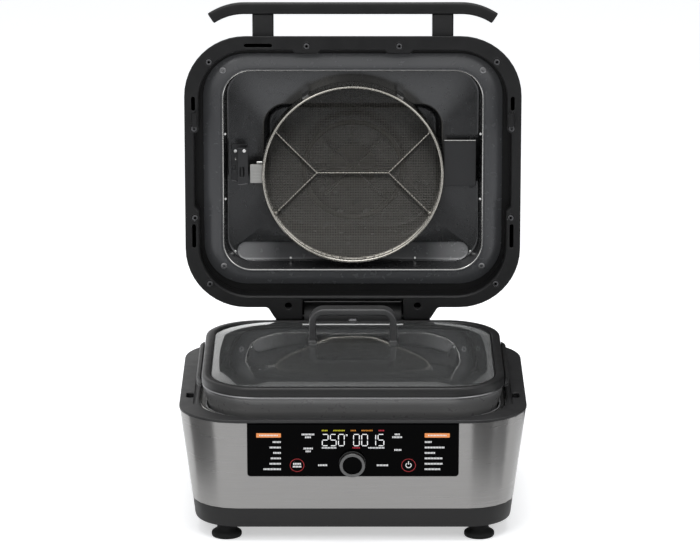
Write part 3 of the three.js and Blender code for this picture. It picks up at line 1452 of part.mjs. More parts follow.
function guardTab() {
  const left = -besideGuard(TAB_REACH_SHARE);
  const tab = between(left, 0, -TAB_WIDTH / 2, TAB_WIDTH / 2, -TAB_DEPTH - TAB_THICKNESS, -TAB_DEPTH);
  const hoop = turned(
    [
      [0, -MESH_DEPTH],
      [GUARD_RADIUS + CLEARANCE, -MESH_DEPTH],
      [GUARD_RADIUS + CLEARANCE, 0],
      [0, 0],
    ],
    GUARD_SIDES,
  );
  return aboutGuard(cut(tab, hoop));
}

// A strip of sheet bent along a line of corners in x and depth, as long as its length in y
function bentSheet(corners, length, y) {
  const points = corners.map(([x, depth]) => new THREE.Vector2(x, -depth));
  const sheet = new THREE.ExtrudeGeometry(new THREE.Shape(points), { depth: length, bevelEnabled: false });
  return sheet.rotateX(Math.PI / 2).translate(0, y + length / 2, 0);
}

function guardRestPlate() {
  const inner = GUARD_RADIUS + CLEARANCE;
  const [face, outer] = REST_PLATE_SHARES.map(besideGuard);
  const foot = CAVITY_DEPTH - CLEARANCE;
  const corners = [
    [inner, REST_PLATE_DEPTH],
    [face, REST_PLATE_DEPTH],
    [face, foot - GUARD_SHEET],
    [outer, foot - GUARD_SHEET],
    [outer, foot],
    [face - GUARD_SHEET, foot],
    [face - GUARD_SHEET, REST_PLATE_DEPTH + GUARD_SHEET],
    [inner, REST_PLATE_DEPTH + GUARD_SHEET],
  ];
  return bentSheet(corners, REST_PLATE_LENGTH, GUARD_Y + REST_PLATE_OFFSET);
}

function guardLatchBracket() {
  const foot = CAVITY_DEPTH - CLEARANCE;
  const [wall, lip, outer] = BRACKET_SHARES.map(besideGuard);
  const corners = [
    [-outer, foot - GUARD_SHEET],
    [-wall - GUARD_SHEET, foot - GUARD_SHEET],
    [-wall - GUARD_SHEET, BRACKET_DEPTH + GUARD_SHEET],
    [-lip, BRACKET_DEPTH + GUARD_SHEET],
    [-lip, BRACKET_DEPTH],
    [-wall, BRACKET_DEPTH],
    [-wall, foot],
    [-outer, foot],
  ];
  return bentSheet(corners, BRACKET_LENGTH, GUARD_Y + BRACKET_OFFSET);
}

// A spring clip that stands on the cavity floor against the guard's hoop
function guardClip(side) {
  const radius = GUARD_RADIUS + CLEARANCE + CLIP_THICKNESS / 2;
  const height = CAVITY_DEPTH - CLEARANCE - CLIP_DEPTH;
  const clip = new THREE.BoxGeometry(CLIP_THICKNESS, CLIP_WIDTH, height);
  const angle = Math.acos(side * CLIP_SHARE);
  clip.translate(radius, 0, height / 2 - CAVITY_DEPTH + CLEARANCE).rotateZ(angle);
  return aboutGuard(clip);
}

// Blades round a hub and a back plate, with a bore for the shaft
function impeller(radius, hub, blades, front, back) {
  const bore = MOTOR_SHAFT_RADIUS + CLEARANCE;
  const sheet = FAN_BLADE_SHEET;
  const pieces = [
    post(hub, -back, -front, 0, 0, ROUND_SIDES / 2),
    post((hub + radius) / 2, -back, -back + sheet, 0, 0),
  ];
  for (let blade = 0; blade < blades; blade++) {
    const length = radius - hub / 2;
    const vane = new THREE.BoxGeometry(length, sheet, back - front);
    vane.translate(hub / 2 + length / 2, 0, -(front + back) / 2);
    pieces.push(vane.rotateZ((blade / blades) * 2 * Math.PI));
  }
  const hole = post(bore, -back - OVERRUN, -front + OVERRUN, 0, 0, ROUND_SIDES / 2);
  return aboutGuard(cut(join(...pieces), hole));
}

function motorBracket() {
  const front = -BRACKET_PLATE_DEPTH;
  const back = front - BRACKET_PLATE_SHEET;
  const half = BRACKET_PLATE_HALF;
  const width = BRACKET_PLATE_WIDTH / 2;
  const feet = [-1, 1].map((side) => {
    const x = side * (half - BRACKET_FOOT / 2);
    const top = WELL_FLOOR - SHEET - CLEARANCE;
    return between(x - BRACKET_FOOT / 2, x + BRACKET_FOOT / 2, -width, width, back, top);
  });
  const hole = post(MOTOR_SHAFT_RADIUS + GUARD_SHEET, back - OVERRUN, front + OVERRUN, 0, 0, ROUND_SIDES / 2);
  return aboutGuard(cut(join(between(-half, half, -width, width, back, front), ...feet), hole));
}

function fanMotor() {
  const front = -BRACKET_PLATE_DEPTH - BRACKET_PLATE_SHEET - CLEARANCE;
  const body = post(MOTOR_RADIUS, -MOTOR_BACK + SHEET, front);
  const boss = post(MOTOR_BOSS, -MOTOR_BACK, front);
  const radius = MOTOR_SHAFT_RADIUS + CLEARANCE;
  const bore = post(radius, -MOTOR_BACK - OVERRUN, front + OVERRUN, 0, 0, ROUND_SIDES / 2);
  return aboutGuard(cut(join(body, boss), bore));
}

function motorShaft() {
  const shaft = post(MOTOR_SHAFT_RADIUS, -MOTOR_SHAFT_BACK, -MOTOR_SHAFT_FRONT, 0, 0, ROUND_SIDES / 2);
  return aboutGuard(shaft);
}

// The handle's bar: a straight run with its ends bent down
function handleBar() {
  const y = LID_LENGTH + BAR_GAP + BAR_HEIGHT / 2 - BAR_BEND;
  const outer = BAR_BEND + BAR_HEIGHT / 2;
  const inner = BAR_BEND - BAR_HEIGHT / 2;
  const right = Math.PI / 2 - BAR_BEND_ANGLE;
  const left = Math.PI / 2 + BAR_BEND_ANGLE;
  const shape = new THREE.Shape();
  shape.absarc(BAR_HALF_STRAIGHT, y, outer, right, Math.PI / 2, false);
  shape.absarc(-BAR_HALF_STRAIGHT, y, outer, Math.PI / 2, left, false);
  shape.absarc(-BAR_HALF_STRAIGHT, y, inner, left, Math.PI / 2, true);
  shape.absarc(BAR_HALF_STRAIGHT, y, inner, Math.PI / 2, right, true);
  const bar = new THREE.ExtrudeGeometry(shape, {
    depth: BAR_BACK - BAR_FRONT - 2 * BAR_EDGE,
    curveSegments: CORNER_STEPS,
    bevelEnabled: true,
    bevelThickness: BAR_EDGE,
    bevelSize: BAR_EDGE,
    bevelOffset: -BAR_EDGE,
    bevelSegments: ROUND_STEPS,
  });
  return join(bar.translate(0, 0, BAR_EDGE - BAR_BACK));
}

function handlePost(side) {
  const shape = {
    halfX: POST_WIDTH / 2,
    halfY: (POST_BACK - POST_FRONT) / 2,
    radius: POST_CORNER,
    centreX: side * POST_X,
    centreY: (POST_BACK + POST_FRONT) / 2,
  };
  const top = LID_LENGTH + BAR_GAP - CLEARANCE;
  const upright = slab(shape, 0, LID_LENGTH - OVERRUN / 2, top).rotateX(-Math.PI / 2);
  return cut(upright, coverSkin(-CLEARANCE, -CLEARANCE));
}

function latchPeg() {
  return between(-PEG_WIDTH / 2, PEG_WIDTH / 2, -PEG_LENGTH / 2, PEG_LENGTH / 2, CLEARANCE, PEG_HEIGHT);
}

function buildLid() {
  const pivot = new THREE.Group();
  pivot.position.set(0, HINGE_Y, HINGE_Z);
  pivot.rotation.x = -LID_OPEN_ANGLE;
  machine.add(pivot);
  const lid = new THREE.Group();
  lid.rotation.x = Math.PI;
  lid.position.set(0, -HINGE_BACK, -HINGE_RISE);
  pivot.add(lid);

  place(lid, "lid_frame", lidFrame(), blackPlastic);
  place(lid, "lid_cover", lidCover(), blackPlastic);
  place(lid, "lid_liner", lidLiner(), greyCoating);
  place(lid, "upper_heater", upperHeater(), polished);
  place(lid, "guard_rest_plate", guardRestPlate(), polished);
  place(lid, "guard_latch_bracket", guardLatchBracket(), polished);
  place(lid, "motor_bracket", motorBracket(), brushedSteel);
  place(lid, "fan_motor", fanMotor(), brushedSteel);
  place(lid, "handle_bar", handleBar(), blackPlastic);
  for (const [side, sideX] of [["left", -1], ["right", 1]]) {
    place(lid, `handle_post_${side}`, handlePost(sideX), blackPlastic);
    place(lid, `guard_clip_${side}`, guardClip(sideX), polished);
    place(lid, `latch_peg_${side}`, latchPeg(), blackPlastic).position.set(sideX * PEG_X, PEG_LID_Y, 0);
  }

  place(lid, "guard_ring", guardRing(), polished);
  place(lid, "guard_mesh", guardMesh(), greyCoating);
  place(lid, "guard_wire", guardWire(), polished);
  place(lid, "guard_tab", guardTab(), lightPlastic);

  const blades = impeller(FAN_RADIUS, FAN_HUB, FAN_BLADES, FAN_FRONT_DEPTH, FAN_BACK_DEPTH);
  place(lid, "fan_blade", blades, aluminium);
  const cooling = impeller(COOLING_RADIUS, FAN_HUB, COOLING_BLADES, COOLING_DEPTH, COOLING_BACK);
  place(lid, "cooling_fan", cooling, blackPlastic);
  place(lid, "motor_shaft", motorShaft(), brushedSteel);
}

buildLid();

// The origin is at the middle of the whole, on the surface that it stands on
machine.updateMatrixWorld(true);
const whole = new THREE.Box3().setFromObject(machine, true);
machine.position.y = -(whole.min.y + whole.max.y) / 2;

export default machine;
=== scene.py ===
"""Countertop grill with an open hinged lid: the dressed model round its CAD frame.

The scene is in metres in the part's own frame: Z up, the front facing -Y, the ground at Z 0.
"""

import json
import math
import bmesh
import bpy
from mathutils import Matrix, Vector


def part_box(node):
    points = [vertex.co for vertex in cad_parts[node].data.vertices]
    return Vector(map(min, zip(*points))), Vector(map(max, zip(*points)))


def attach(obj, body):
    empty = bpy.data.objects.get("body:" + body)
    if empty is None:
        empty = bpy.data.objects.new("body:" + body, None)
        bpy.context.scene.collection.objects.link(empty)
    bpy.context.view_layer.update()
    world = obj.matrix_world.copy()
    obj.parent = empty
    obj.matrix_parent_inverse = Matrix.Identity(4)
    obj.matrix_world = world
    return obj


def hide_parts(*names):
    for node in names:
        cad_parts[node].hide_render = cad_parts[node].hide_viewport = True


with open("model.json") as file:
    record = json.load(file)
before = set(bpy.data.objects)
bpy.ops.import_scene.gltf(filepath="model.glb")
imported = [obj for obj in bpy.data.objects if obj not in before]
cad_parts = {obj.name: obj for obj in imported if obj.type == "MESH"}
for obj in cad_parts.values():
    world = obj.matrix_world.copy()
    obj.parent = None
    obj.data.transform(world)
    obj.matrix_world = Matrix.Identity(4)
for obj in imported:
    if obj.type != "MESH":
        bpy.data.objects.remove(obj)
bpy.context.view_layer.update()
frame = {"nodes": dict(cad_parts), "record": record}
SLOT_OF = {row["node"]: row["material_slot"] for row in frame["record"]["subparts"]}
BODIES = frame["record"]["behaviour"]["bodies"]
BODY_OF = {node: body for body, members in BODIES.items() for node in members}
MM = 0.001
SIDES = (-1, 1)

# The camera, fitted to the photograph's outlines
CAMERA_AT = Vector((-0.0034, -5.1034, 1.6291))
CAMERA_TILT = math.radians(15.05)
CAMERA_LENS = 230.9
SENSOR = 36.0


def added(name, data):
    """A new object in the scene."""
    made = bpy.data.objects.new(name, data)
    bpy.context.scene.collection.objects.link(made)
    return made


def make_camera():
    data = bpy.data.cameras.new("camera")
    data.lens, data.sensor_width = CAMERA_LENS, SENSOR
    data.clip_start, data.clip_end = 0.1, 60.0
    camera = added("camera", data)
    camera.location = CAMERA_AT
    camera.rotation_euler = (math.pi / 2 - CAMERA_TILT, 0, 0)
    bpy.context.scene.camera = camera


# Materials: every one is a small node graph over the part's own coordinates
def feed(tree, socket, value):
    """Gives an input another node's output, a color or a number."""
    if isinstance(value, bpy.types.NodeSocket):
        tree.links.new(value, socket)
    elif socket.type == "RGBA":
        socket.default_value = (*value, 1)
    else:
        socket.default_value = value


def add_node(tree, kind, inputs=(), **settings):
    made = tree.nodes.new(kind)
    for key, value in settings.items():
        setattr(made, key, value)
    for key, value in dict(inputs).items():
        feed(tree, made.inputs[key], value)
    return made


class Graph:
    """A material's nodes, with short calls for the ones used here."""

    def __init__(self, name):
        self.material = bpy.data.materials.new(name)
        self.material.use_nodes = True
        self.tree = self.material.node_tree
        self.shader = self.tree.nodes["Principled BSDF"]
        self.coords = self.node("ShaderNodeTexCoord").outputs["Object"]

    def node(self, kind, inputs=(), **settings):
        return add_node(self.tree, kind, inputs, **settings)

    def set(self, **inputs):
        """The shader's inputs, by name."""
        for key, value in inputs.items():
            feed(self.tree, self.shader.inputs[key.replace("_", " ")], value)

    def noise(self, scale, detail=2.0, stretch=(1, 1, 1), rough=0.5):
        where = self.node("ShaderNodeMapping", {"Vector": self.coords, "Scale": stretch}).outputs["Vector"]
        inputs = {"Vector": where, "Scale": scale, "Detail": detail, "Roughness": rough}
        return self.node("ShaderNodeTexNoise", inputs).outputs["Fac"]

    def axes(self):
        """The three object coordinates, in metres."""
        apart = self.node("ShaderNodeSeparateXYZ", {"Vector": self.coords})
        return [apart.outputs[axis] for axis in "XYZ"]

    def math(self, operation, *values):
        return self.node("ShaderNodeMath", enumerate(values), operation=operation).outputs["Value"]

    def spread(self, value, low, high, first=0.3, last=0.7):
        """Goes from low to high while the value goes from first to last."""
        inputs = {"Value": value, "From Min": first, "From Max": last, "To Min": low, "To Max": high}
        return self.node("ShaderNodeMapRange", inputs).outputs["Result"]

    def blend(self, factor, one, two):
        inputs = {"Factor": factor, "A": one, "B": two}
        return self.node("ShaderNodeMix", inputs, data_type="RGBA").outputs["Result"]

    def bump(self, height, strength, distance):
        inputs = {"Height": height, "Strength": strength, "Distance": distance}
        self.set(Normal=self.node("ShaderNodeBump", inputs).outputs["Normal"])

    def edges(self, radius):
        """1 along sharp edges and 0 on open surface."""
        bevel = self.node("ShaderNodeBevel", {"Radius": radius}, samples=4)
        flat = self.node("ShaderNodeNewGeometry").outputs["Normal"]
        normals = {0: bevel.outputs["Normal"], 1: flat}
        alike = self.node("ShaderNodeVectorMath", normals, operation="DOT_PRODUCT").outputs["Value"]
        return self.spread(alike, 1.0, 0.0, 0.8, 0.99)


EDGE_BAND = 0.0006


def shade_of(color, factor):
    return tuple(min(1, factor * c) for c in color)


def moulded(name, color, roughness, specular=0.3, grain=0.25, edge_lift=0.35, tunnel_shade=None):
    """A satin moulded plastic, lighter along sharp edges; its last argument is the stretch of Y over which it
    is painted darker, as shade.
    """
    g = Graph(name)
    mottle = g.noise(60, 3)
    base = g.blend(g.spread(mottle, 0, 1), color, shade_of(color, 1.15))
    # lighter along sharp edges
    base = g.blend(g.edges(EDGE_BAND), base, tuple(c + 0.045 * edge_lift for c in color))
    if tunnel_shade:
        # painted shade: over this stretch of Y the colour darkens to a quarter, as shade deep in a tunnel
        base = g.blend(g.spread(g.axes()[1], 0, 1, *tunnel_shade), base, shade_of(color, 0.25))
    g.set(Base_Color=base, Specular_IOR_Level=specular)
    g.set(Roughness=g.spread(mottle, roughness - 0.04, roughness + 0.05))
    g.bump(g.noise(2600, 2), grain, 0.00008)
    return g.material


def metal(name, color, roughness, stretch=(1, 1, 1), scale=900, streak=0.12, bump=0.15):
    """A metal whose brush lines or fine grain run along the axis that stretch makes long."""
    g = Graph(name)
    lines = g.noise(scale, 3, stretch, 0.65)
    dark = shade_of(color, 1 - streak)
    base = g.blend(g.spread(lines, 0, 1), dark, shade_of(color, 1 + streak))
    base = g.blend(g.spread(g.noise(9, 2), 0, 0.25), base, dark)
    g.set(Base_Color=base, Metallic=1.0)
    g.set(Roughness=g.spread(lines, roughness - 0.05, roughness + 0.07))
    g.bump(lines, bump, 0.00003)
    return g.material


def coated(name, color, roughness, metallic=0.0, fleck=0.25):
    """A baked non-stick coat with fine metal fleck and a slightly uneven skin."""
    g = Graph(name)
    skin = g.noise(140, 3)
    bright = tuple(min(1, c * (1 + fleck) + 0.01) for c in color)
    base = g.blend(g.spread(g.noise(4200, 1), 0, 1, 0.55, 0.75), color, bright)
    g.set(Base_Color=base, Metallic=metallic, Specular_IOR_Level=0.4)
    g.set(Roughness=g.spread(skin, roughness - 0.04, roughness + 0.06))
    g.bump(skin, 0.05, 0.0002)
    return g.material


def brushed_steel():
    """Steel brushed round the body: long fine lines, and gloss drawn out across them."""
    g = Graph("brushed_steel")
    fine = g.noise(2600, 2, (0.012, 0.012, 1), 0.6)
    broad = g.noise(420, 3, (0.02, 0.02, 1), 0.6)
    base = g.blend(g.spread(fine, 0, 1, 0.35, 0.65), (0.226, 0.222, 0.217), (0.24, 0.236, 0.231))
    base = g.blend(g.spread(broad, 0, 0.4), base, (0.222, 0.218, 0.214))
    g.set(Base_Color=base, Roughness=g.spread(broad, 0.27, 0.3), Metallic=1.0)
    around = g.node("ShaderNodeTangent", direction_type="RADIAL", axis="Z").outputs["Tangent"]
    g.set(Anisotropic=0.75, Anisotropic_Rotation=0.25, Tangent=around)
    g.bump(fine, 0.07, 0.00001)
    return g.material


def ink(name, color, glow=0.0):
    """Screen-printed ink or a lit segment, with the slight mottle of a print; glow is emitted light, a lit
    segment's own and on printed ink a painted glow.
    """
    g = Graph(name)
    fade = g.noise(1800, 2)
    g.set(Base_Color=g.blend(g.spread(fade, 0, 1), color, shade_of(color, 0.88)))
    g.set(Roughness=g.spread(fade, 0.4, 0.5), Specular_IOR_Level=0.2)
    if glow:
        g.set(Emission_Color=color, Emission_Strength=glow)
    return g.material


def liner_coat():
    """Grey enamel of the lid's liner: a satin flange painted lighter towards its top as painted light, a
    glossier cavity painted darker as shade, and a painted highlight on the pale ends of the long recess,
    which is less metallic.
    """
    cavity_mouth, recess_floor = (0.1335, 0.1375), (0.1603, 0.1612)
    recess_top, end_highlight_reach, flange_top_light = (0.264, 0.268), (0.088, 0.136), (0.42, 0.5)
    g = Graph("liner_coat")
    skin = g.noise(120, 3)
    across, depth, height = g.axes()
    inside = g.spread(depth, 0, 1, *cavity_mouth)
    recess = g.math("MULTIPLY", g.spread(depth, 0, 1, *recess_floor), g.spread(height, 1, 0, *recess_top))
    # the pale ends of the long recess: a painted highlight
    ends = g.math("MULTIPLY", recess, g.spread(g.math("ABSOLUTE", across), 0, 1, *end_highlight_reach))
    # painted light: the flange lighter towards its top
    base = g.blend(g.spread(height, 0, 1, *flange_top_light), (0.076, 0.0775, 0.081), (0.112, 0.113, 0.116))
    # painted shade: the cavity darker than the flange
    base = g.blend(inside, base, (0.066, 0.067, 0.069))
    base = g.blend(g.spread(skin, 0, 0.1), base, (0.09, 0.091, 0.093))
    # the recess ends painted pale, a painted highlight
    g.set(Base_Color=g.blend(ends, base, (0.3, 0.3, 0.303)), Roughness=g.spread(skin, 0.24, 0.28))
    shine = g.math("MULTIPLY", g.spread(inside, 0.2, 0.85, 0, 1), g.spread(recess, 1, 0.25, 0, 1))
    g.set(Metallic=shine, Specular_IOR_Level=0.35)
    g.bump(skin, 0.015, 0.0001)
    return g.material


def glass_material():
    g = Graph("clear_glass")
    g.set(Roughness=g.spread(g.noise(30, 3), 0.0, 0.012))
    g.set(Base_Color=(0.55, 0.56, 0.56), Transmission_Weight=0.955, IOR=1.45)
    return g.material


def build_materials():
    black, brush_along_x, lid_tunnel_shade = (0.0125, 0.0125, 0.0128), (0.03, 1, 1), (0.1115, 0.1135)
    return {
        "clear_glass": glass_material(),
        "black_plastic": moulded("moulded_black", black, 0.42, 0.2),
        # painted shade inside the tunnel round the lid frame's opening
        "lid_black": moulded("moulded_black_lid", black, 0.42, 0.2, tunnel_shade=lid_tunnel_shade),
        "black_matt": moulded("moulded_black_matt", (0.006, 0.006, 0.0063), 0.55, 0.12),
        "cover": moulded("moulded_black_cover", (0.016, 0.016, 0.0165), 0.46, 0.3, 0.4),
        "deck": moulded("moulded_black_deck", (0.014, 0.014, 0.0145), 0.48, 0.35),
        "tray": moulded("tray_black", (0.012, 0.0118, 0.0118), 0.5, 0.25),
        "brushed_steel": brushed_steel(),
        "bright_steel": metal("bright_steel", (0.5, 0.495, 0.48), 0.2, scale=400, streak=0.08),
        "hoop": metal("hoop_steel", (0.4, 0.385, 0.35), 0.24, (1, 1, 0.3), 900, 0.1, 0.03),
        "liner": liner_coat(),
        "grey_coating": coated("bowl_coat", (0.36, 0.36, 0.36), 0.38, 0.4, 0.1),
        "dark_coating": coated("pot_coat", (0.14, 0.139, 0.137), 0.3, 0.15, 0.03),
        "cast_aluminium": metal("cast_aluminium", (0.45, 0.45, 0.46), 0.45, scale=300, streak=0.1, bump=0.3),
        "circuit_board": coated("circuit_board", (0.01, 0.09, 0.04), 0.4),
        "foot_rubber": moulded("foot_rubber", (0.008, 0.008, 0.008), 0.7, 0.15),
        "gloss_black": moulded("gloss_black", (0.0008, 0.0008, 0.0009), 0.07, 0.02, 0.0, 0.0),
        "brass": metal("brass", (0.6, 0.42, 0.18), 0.3, brush_along_x, 700),
        "knob_metal": metal("knob_coat", (0.1, 0.1, 0.1), 0.3, scale=700, streak=0.1),
        "black_silicone": moulded("ring_silicone", (0.012, 0.012, 0.0122), 0.36, 0.32, 0.12),
        "grip": moulded("grip_silicone", (0.03, 0.03, 0.0305), 0.36, 0.5, 0.3),
        "light_plastic": moulded("tab_plastic", (0.36, 0.355, 0.34), 0.5, 0.4),
        "mesh_steel": metal("mesh_wire", (0.11, 0.106, 0.098), 0.42, scale=500, streak=0.2),
        "heater": metal("heater_sheath", (0.05, 0.048, 0.044), 0.34, scale=500, streak=0.2),
        "rivet": metal("rivet_bright", (0.85, 0.85, 0.84), 0.42, scale=600, streak=0.04),
        "screw": metal("zinc_screw", (0.1, 0.1, 0.104), 0.38, scale=800, streak=0.15),
        "zinc": metal("zinc_bright", (0.24, 0.24, 0.245), 0.34, scale=800, streak=0.15),
        "pressed": coated("pressed_coat", (0.045, 0.0455, 0.047), 0.32, 0.7),
        # painted glow: the white print emits light, though it is only ink
        "ink_white": ink("ink_white", (0.72, 0.72, 0.72), 0.25),
        "led_white": ink("led_white", (0.8, 0.8, 0.8), 0.5),
        "ink_yellow": ink("ink_yellow", (0.55, 0.5, 0.02), 0.1),
        "ink_amber": ink("ink_amber", (0.62, 0.24, 0.03), 0.1),
        "ink_red": ink("ink_red", (0.5, 0.03, 0.05), 0.1),
        "ink_key": ink("ink_key", (0.42, 0.035, 0.04)),
        # painted glow: the orange badges emit light, though they are only ink
        "ink_orange": ink("ink_orange", (0.86, 0.31, 0.1), 0.12),
    }


# A node's look is the one of its slot, but for these
NODE_LOOK = {
    "lid_liner": "liner",
    "guard_ring": "hoop",
    "guard_wire": "hoop",
    "base_tray": "tray",
    "rear_hinge_housing": "deck",
    "hinge_pin": "screw",
    "fan_blade": "heater",
    "motor_shaft": "heater",
    "fan_motor": "heater",
    "motor_bracket": "heater",
}


def smooth_faces(obj):
    obj.data.polygons.foreach_set("use_smooth", [True] * len(obj.data.polygons))


def dress_nodes():
    """The CAD pieces' looks, with smooth shading across shallow edges; their meshes stay as they are."""
    for name, obj in frame["nodes"].items():
        for held in obj.material_slots:
            held.material = looks[NODE_LOOK.get(name, SLOT_OF[name])]
        obj.modifiers.new("weld", "WELD").merge_threshold = 0.00001
        obj.modifiers.new("split", "EDGE_SPLIT").split_angle = math.radians(32)
        smooth_faces(obj)


# Shapes: sizes below are in millimetres, and meshes are made in metres.
# A shape is half a width, half a height, a corner radius and the height of its middle, and a
# fifth number is the radius of its two lower corners.
CORNER_STEPS = 12


def at(x, y, z):
    return Matrix.Translation((x, y, z))


def spun(degrees, axis):
    return Matrix.Rotation(math.radians(degrees), 4, axis)


FLAT = Matrix.Identity(4)
FACING_BACK = spun(180, "Z") @ spun(90, "X")


def corners_of(node, place=FLAT):
    """The low and the high corner of a node's box, along the axes of a place."""
    ends = [place.inverted() @ (Vector(corner) / MM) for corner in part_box(node)]
    return [Vector(map(pick, *ends)) for pick in (min, max)]


def middle_of(node, place=FLAT):
    low, high = corners_of(node, place)
    return (low + high) / 2


def shape_of(node, radius, grow=0, place=FLAT):
    """The shape round a node's box."""
    low, high = corners_of(node, place)
    half = (high - low) / 2
    return (half.x + grow, half.y + grow, radius, (low.y + high.y) / 2)


lid_low, lid_high = corners_of("lid_frame")
LID_LENGTH, LID_ROUND, WIDTH_X = 333, 73, lid_high.x
LID = at(0, lid_low.y, lid_high.z - LID_LENGTH) @ spun(90, "X")


def mesh_object(name, points, faces, place=FLAT):
    mesh = bpy.data.meshes.new(name)
    mesh.from_pydata([(place @ Vector(p)) * MM for p in points], [], faces)
    mesh.validate()
    shaped = bmesh.new()
    shaped.from_mesh(mesh)
    bmesh.ops.remove_doubles(shaped, verts=shaped.verts, dist=0.000001)
    bmesh.ops.recalc_face_normals(shaped, faces=shaped.faces)
    shaped.to_mesh(mesh)
    shaped.free()
    return added(name, mesh)


def applied(obj):
    """The piece with its modifiers, or its curve, turned into a plain mesh."""
    graph = bpy.context.evaluated_depsgraph_get()
    mesh = bpy.data.meshes.new_from_object(obj.evaluated_get(graph))
    name = obj.name
    bpy.data.objects.remove(obj)
    return added(name, mesh)


def piece(obj, body, slot, look=None, angle=35):
    """Dresses a finished piece: the look of its slot, or the look given instead, smooth shading, and its
    body.
    """
    obj.data.materials.clear()
    obj.data.materials.append(looks[look or slot])
    smooth_faces(obj)
    obj.data.set_sharp_from_angle(angle=math.radians(angle))
    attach(obj, body)


def stand_in(obj, node, look=None, angle=35, slot=None):
    """A piece that stands for a node, which it hides: on the node's body, and in the node's look where no
    other look or slot is given.
    """
    piece(obj, BODY_OF[node], slot or SLOT_OF[node], look or NODE_LOOK.get(node), angle)
    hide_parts(node)


def rounded(half_x, half_y, radius, centre=(0, 0), steps=CORNER_STEPS):
    """The points of a rounded rectangle."""
    points = []
    for turn, (side_x, side_y) in enumerate(((1, -1), (1, 1), (-1, 1), (-1, -1))):
        for step in range(steps + 1):
            angle = (turn - 1 + step / steps) * math.pi / 2
            x = centre[0] + side_x * (half_x - radius) + radius * math.cos(angle)
            y = centre[1] + side_y * (half_y - radius) + radius * math.sin(angle)
            points.append((x, y))
    return points


def rectangle(x1, y1, x2, y2):
    return [(x1, y1), (x2, y1), (x2, y2), (x1, y2)]


def obround(x, y, width, height):
    radius = min(width, height) / 2 - 0.01
    return rounded(width / 2, height / 2, radius, (x, y), 5)


def disc(radius, centre, sides=24):
    turns = [2 * math.pi * step / sides for step in range(sides)]
    return [(centre[0] + radius * math.cos(a), centre[1] + radius * math.sin(a)) for a in turns]


def arc(centre_a, centre_b, radius, start, end, steps=4):
    """Points on an arc, from one angle to another in degrees."""
    turns = [math.radians(start + (end - start) * step / steps) for step in range(steps + 1)]
    return [(centre_a + radius * math.cos(a), centre_b + radius * math.sin(a)) for a in turns]


def filleted(corners, radius, steps=6):
    """A polygon's points with each corner turned into an arc; a corner may carry its own radius."""
    points = []
    for index, (x, y, *own) in enumerate(corners):
        here = Vector((x, y))
        size = own[0] if own else radius
        back = (Vector(corners[index - 1][:2]) - here).normalized()
        ahead = (Vector(corners[(index + 1) % len(corners)][:2]) - here).normalized()
        half = back.angle(ahead) / 2
        centre = here + (back + ahead).normalized() * (size / math.sin(half))
        start = here + back * (size / math.tan(half)) - centre
        turn = start.angle_signed(here + ahead * (size / math.tan(half)) - centre)
        many = steps * 2 if size > 20 else steps
        for step in range(many + 1):
            points.append(tuple(centre + Matrix.Rotation(-turn * step / many, 2) @ start))
    return points


def both_halves(right):
    """An outline with radii from its right half and the mirror of that half."""
    return right + [(-x, y, radius) for x, y, radius in reversed(right)]


def mirrored(spots):
    return [(side * x, y) for x, y in spots for side in SIDES]


def offset(points, amount):
    """A closed outline moved outwards, point by point, for one that runs anticlockwise."""
    moved = []
    for index, point in enumerate(points):
        along = Vector(points[(index + 1) % len(points)]) - Vector(points[index - 1])
        outward = Vector((along.y, -along.x)).normalized()
        moved.append(tuple(Vector(point) + outward * amount))
    return moved


def raised(points, z):
    return [(x, y, z) for x, y in points]


def outline(shape, inset):
    """A shape drawn in by inset."""
    half_x, half_y, radius, centre_y, *lower = shape
    radii = [max(value - inset, 0.4) for value in (radius, *lower)]
    upper, *rounder = [rounded(half_x - inset, half_y - inset, value, (0, centre_y)) for value in radii]
    if rounder:
        corner = CORNER_STEPS + 1
        upper = rounder[0][:corner] + upper[corner:-corner] + rounder[0][-corner:]
    return upper


def level(shape, inset, height):
    """One ring of a loft."""
    return raised(outline(shape, inset), height)


def ring_of(shape, profile):
    """Rings of a loft from inset and height pairs."""
    return [level(shape, inset, height) for inset, height in profile]


def band(one, two, count):
    """The faces between two rings, which start at the points one and two."""
    after = [(step + 1) % count for step in range(count)]
    return [(one + step, one + after[step], two + after[step], two + step) for step in range(count)]


def loft(name, rings, closed=False, capped=False, place=FLAT):
    """A skin through rings of equally many points; closed joins the last ring to the first."""
    count = len(rings[0])
    points = [p for ring in rings for p in ring]
    faces = []
    for index in range(len(rings) if closed else len(rings) - 1):
        faces += band(index * count, (index + 1) % len(rings) * count, count)
    if capped:
        faces += [tuple(range(count)), tuple(range(len(points) - count, len(points)))]
    return mesh_object(name, points, faces, place)


def moulding(name, shape, profile, place=FLAT):
    """A closed profile of inset and height pairs, carried round a shape."""
    return loft(name, ring_of(shape, profile), closed=True, place=place)


def turned(name, profile, sides=72, place=FLAT, closed=False):
    """A body turned about its Z axis from radius and height pairs; a third number is a flute's depth."""
    rings = []
    for radius, height, *flute in profile:
        ring = []
        for step in range(sides):
            angle = 2 * math.pi * step / sides
            reach = max(radius - (flute[0] if flute and step % 2 else 0), 0.001)
            ring.append((reach * math.cos(angle), reach * math.sin(angle), height))
        rings.append(ring)
    return loft(name, rings, closed, place=place)


def plate(name, outlines, back, front, edge=0.0, place=FLAT, steps=2):
    """A flat plate between two heights, with holes where outlines lie inside the first, and rounded edges."""
    curve = bpy.data.curves.new(name, "CURVE")
    curve.dimensions, curve.fill_mode = "2D", "BOTH"
    curve.extrude = (front - back) / 2 * MM - edge * MM
    curve.bevel_depth, curve.bevel_resolution = edge * MM, steps
    curve.offset = -edge * MM
    for points in outlines:
        spline = curve.splines.new("POLY")
        spline.points.add(len(points) - 1)
        for point, (x, y) in zip(spline.points, points):
            point.co = (x * MM, y * MM, 0, 1)
        spline.use_cyclic_u = True
    made = applied(added(name, curve))
    shift = place @ at(0, 0, (back + front) / 2)
    made.data.transform(Matrix.Scale(MM, 4) @ shift @ Matrix.Scale(1 / MM, 4))
    return made


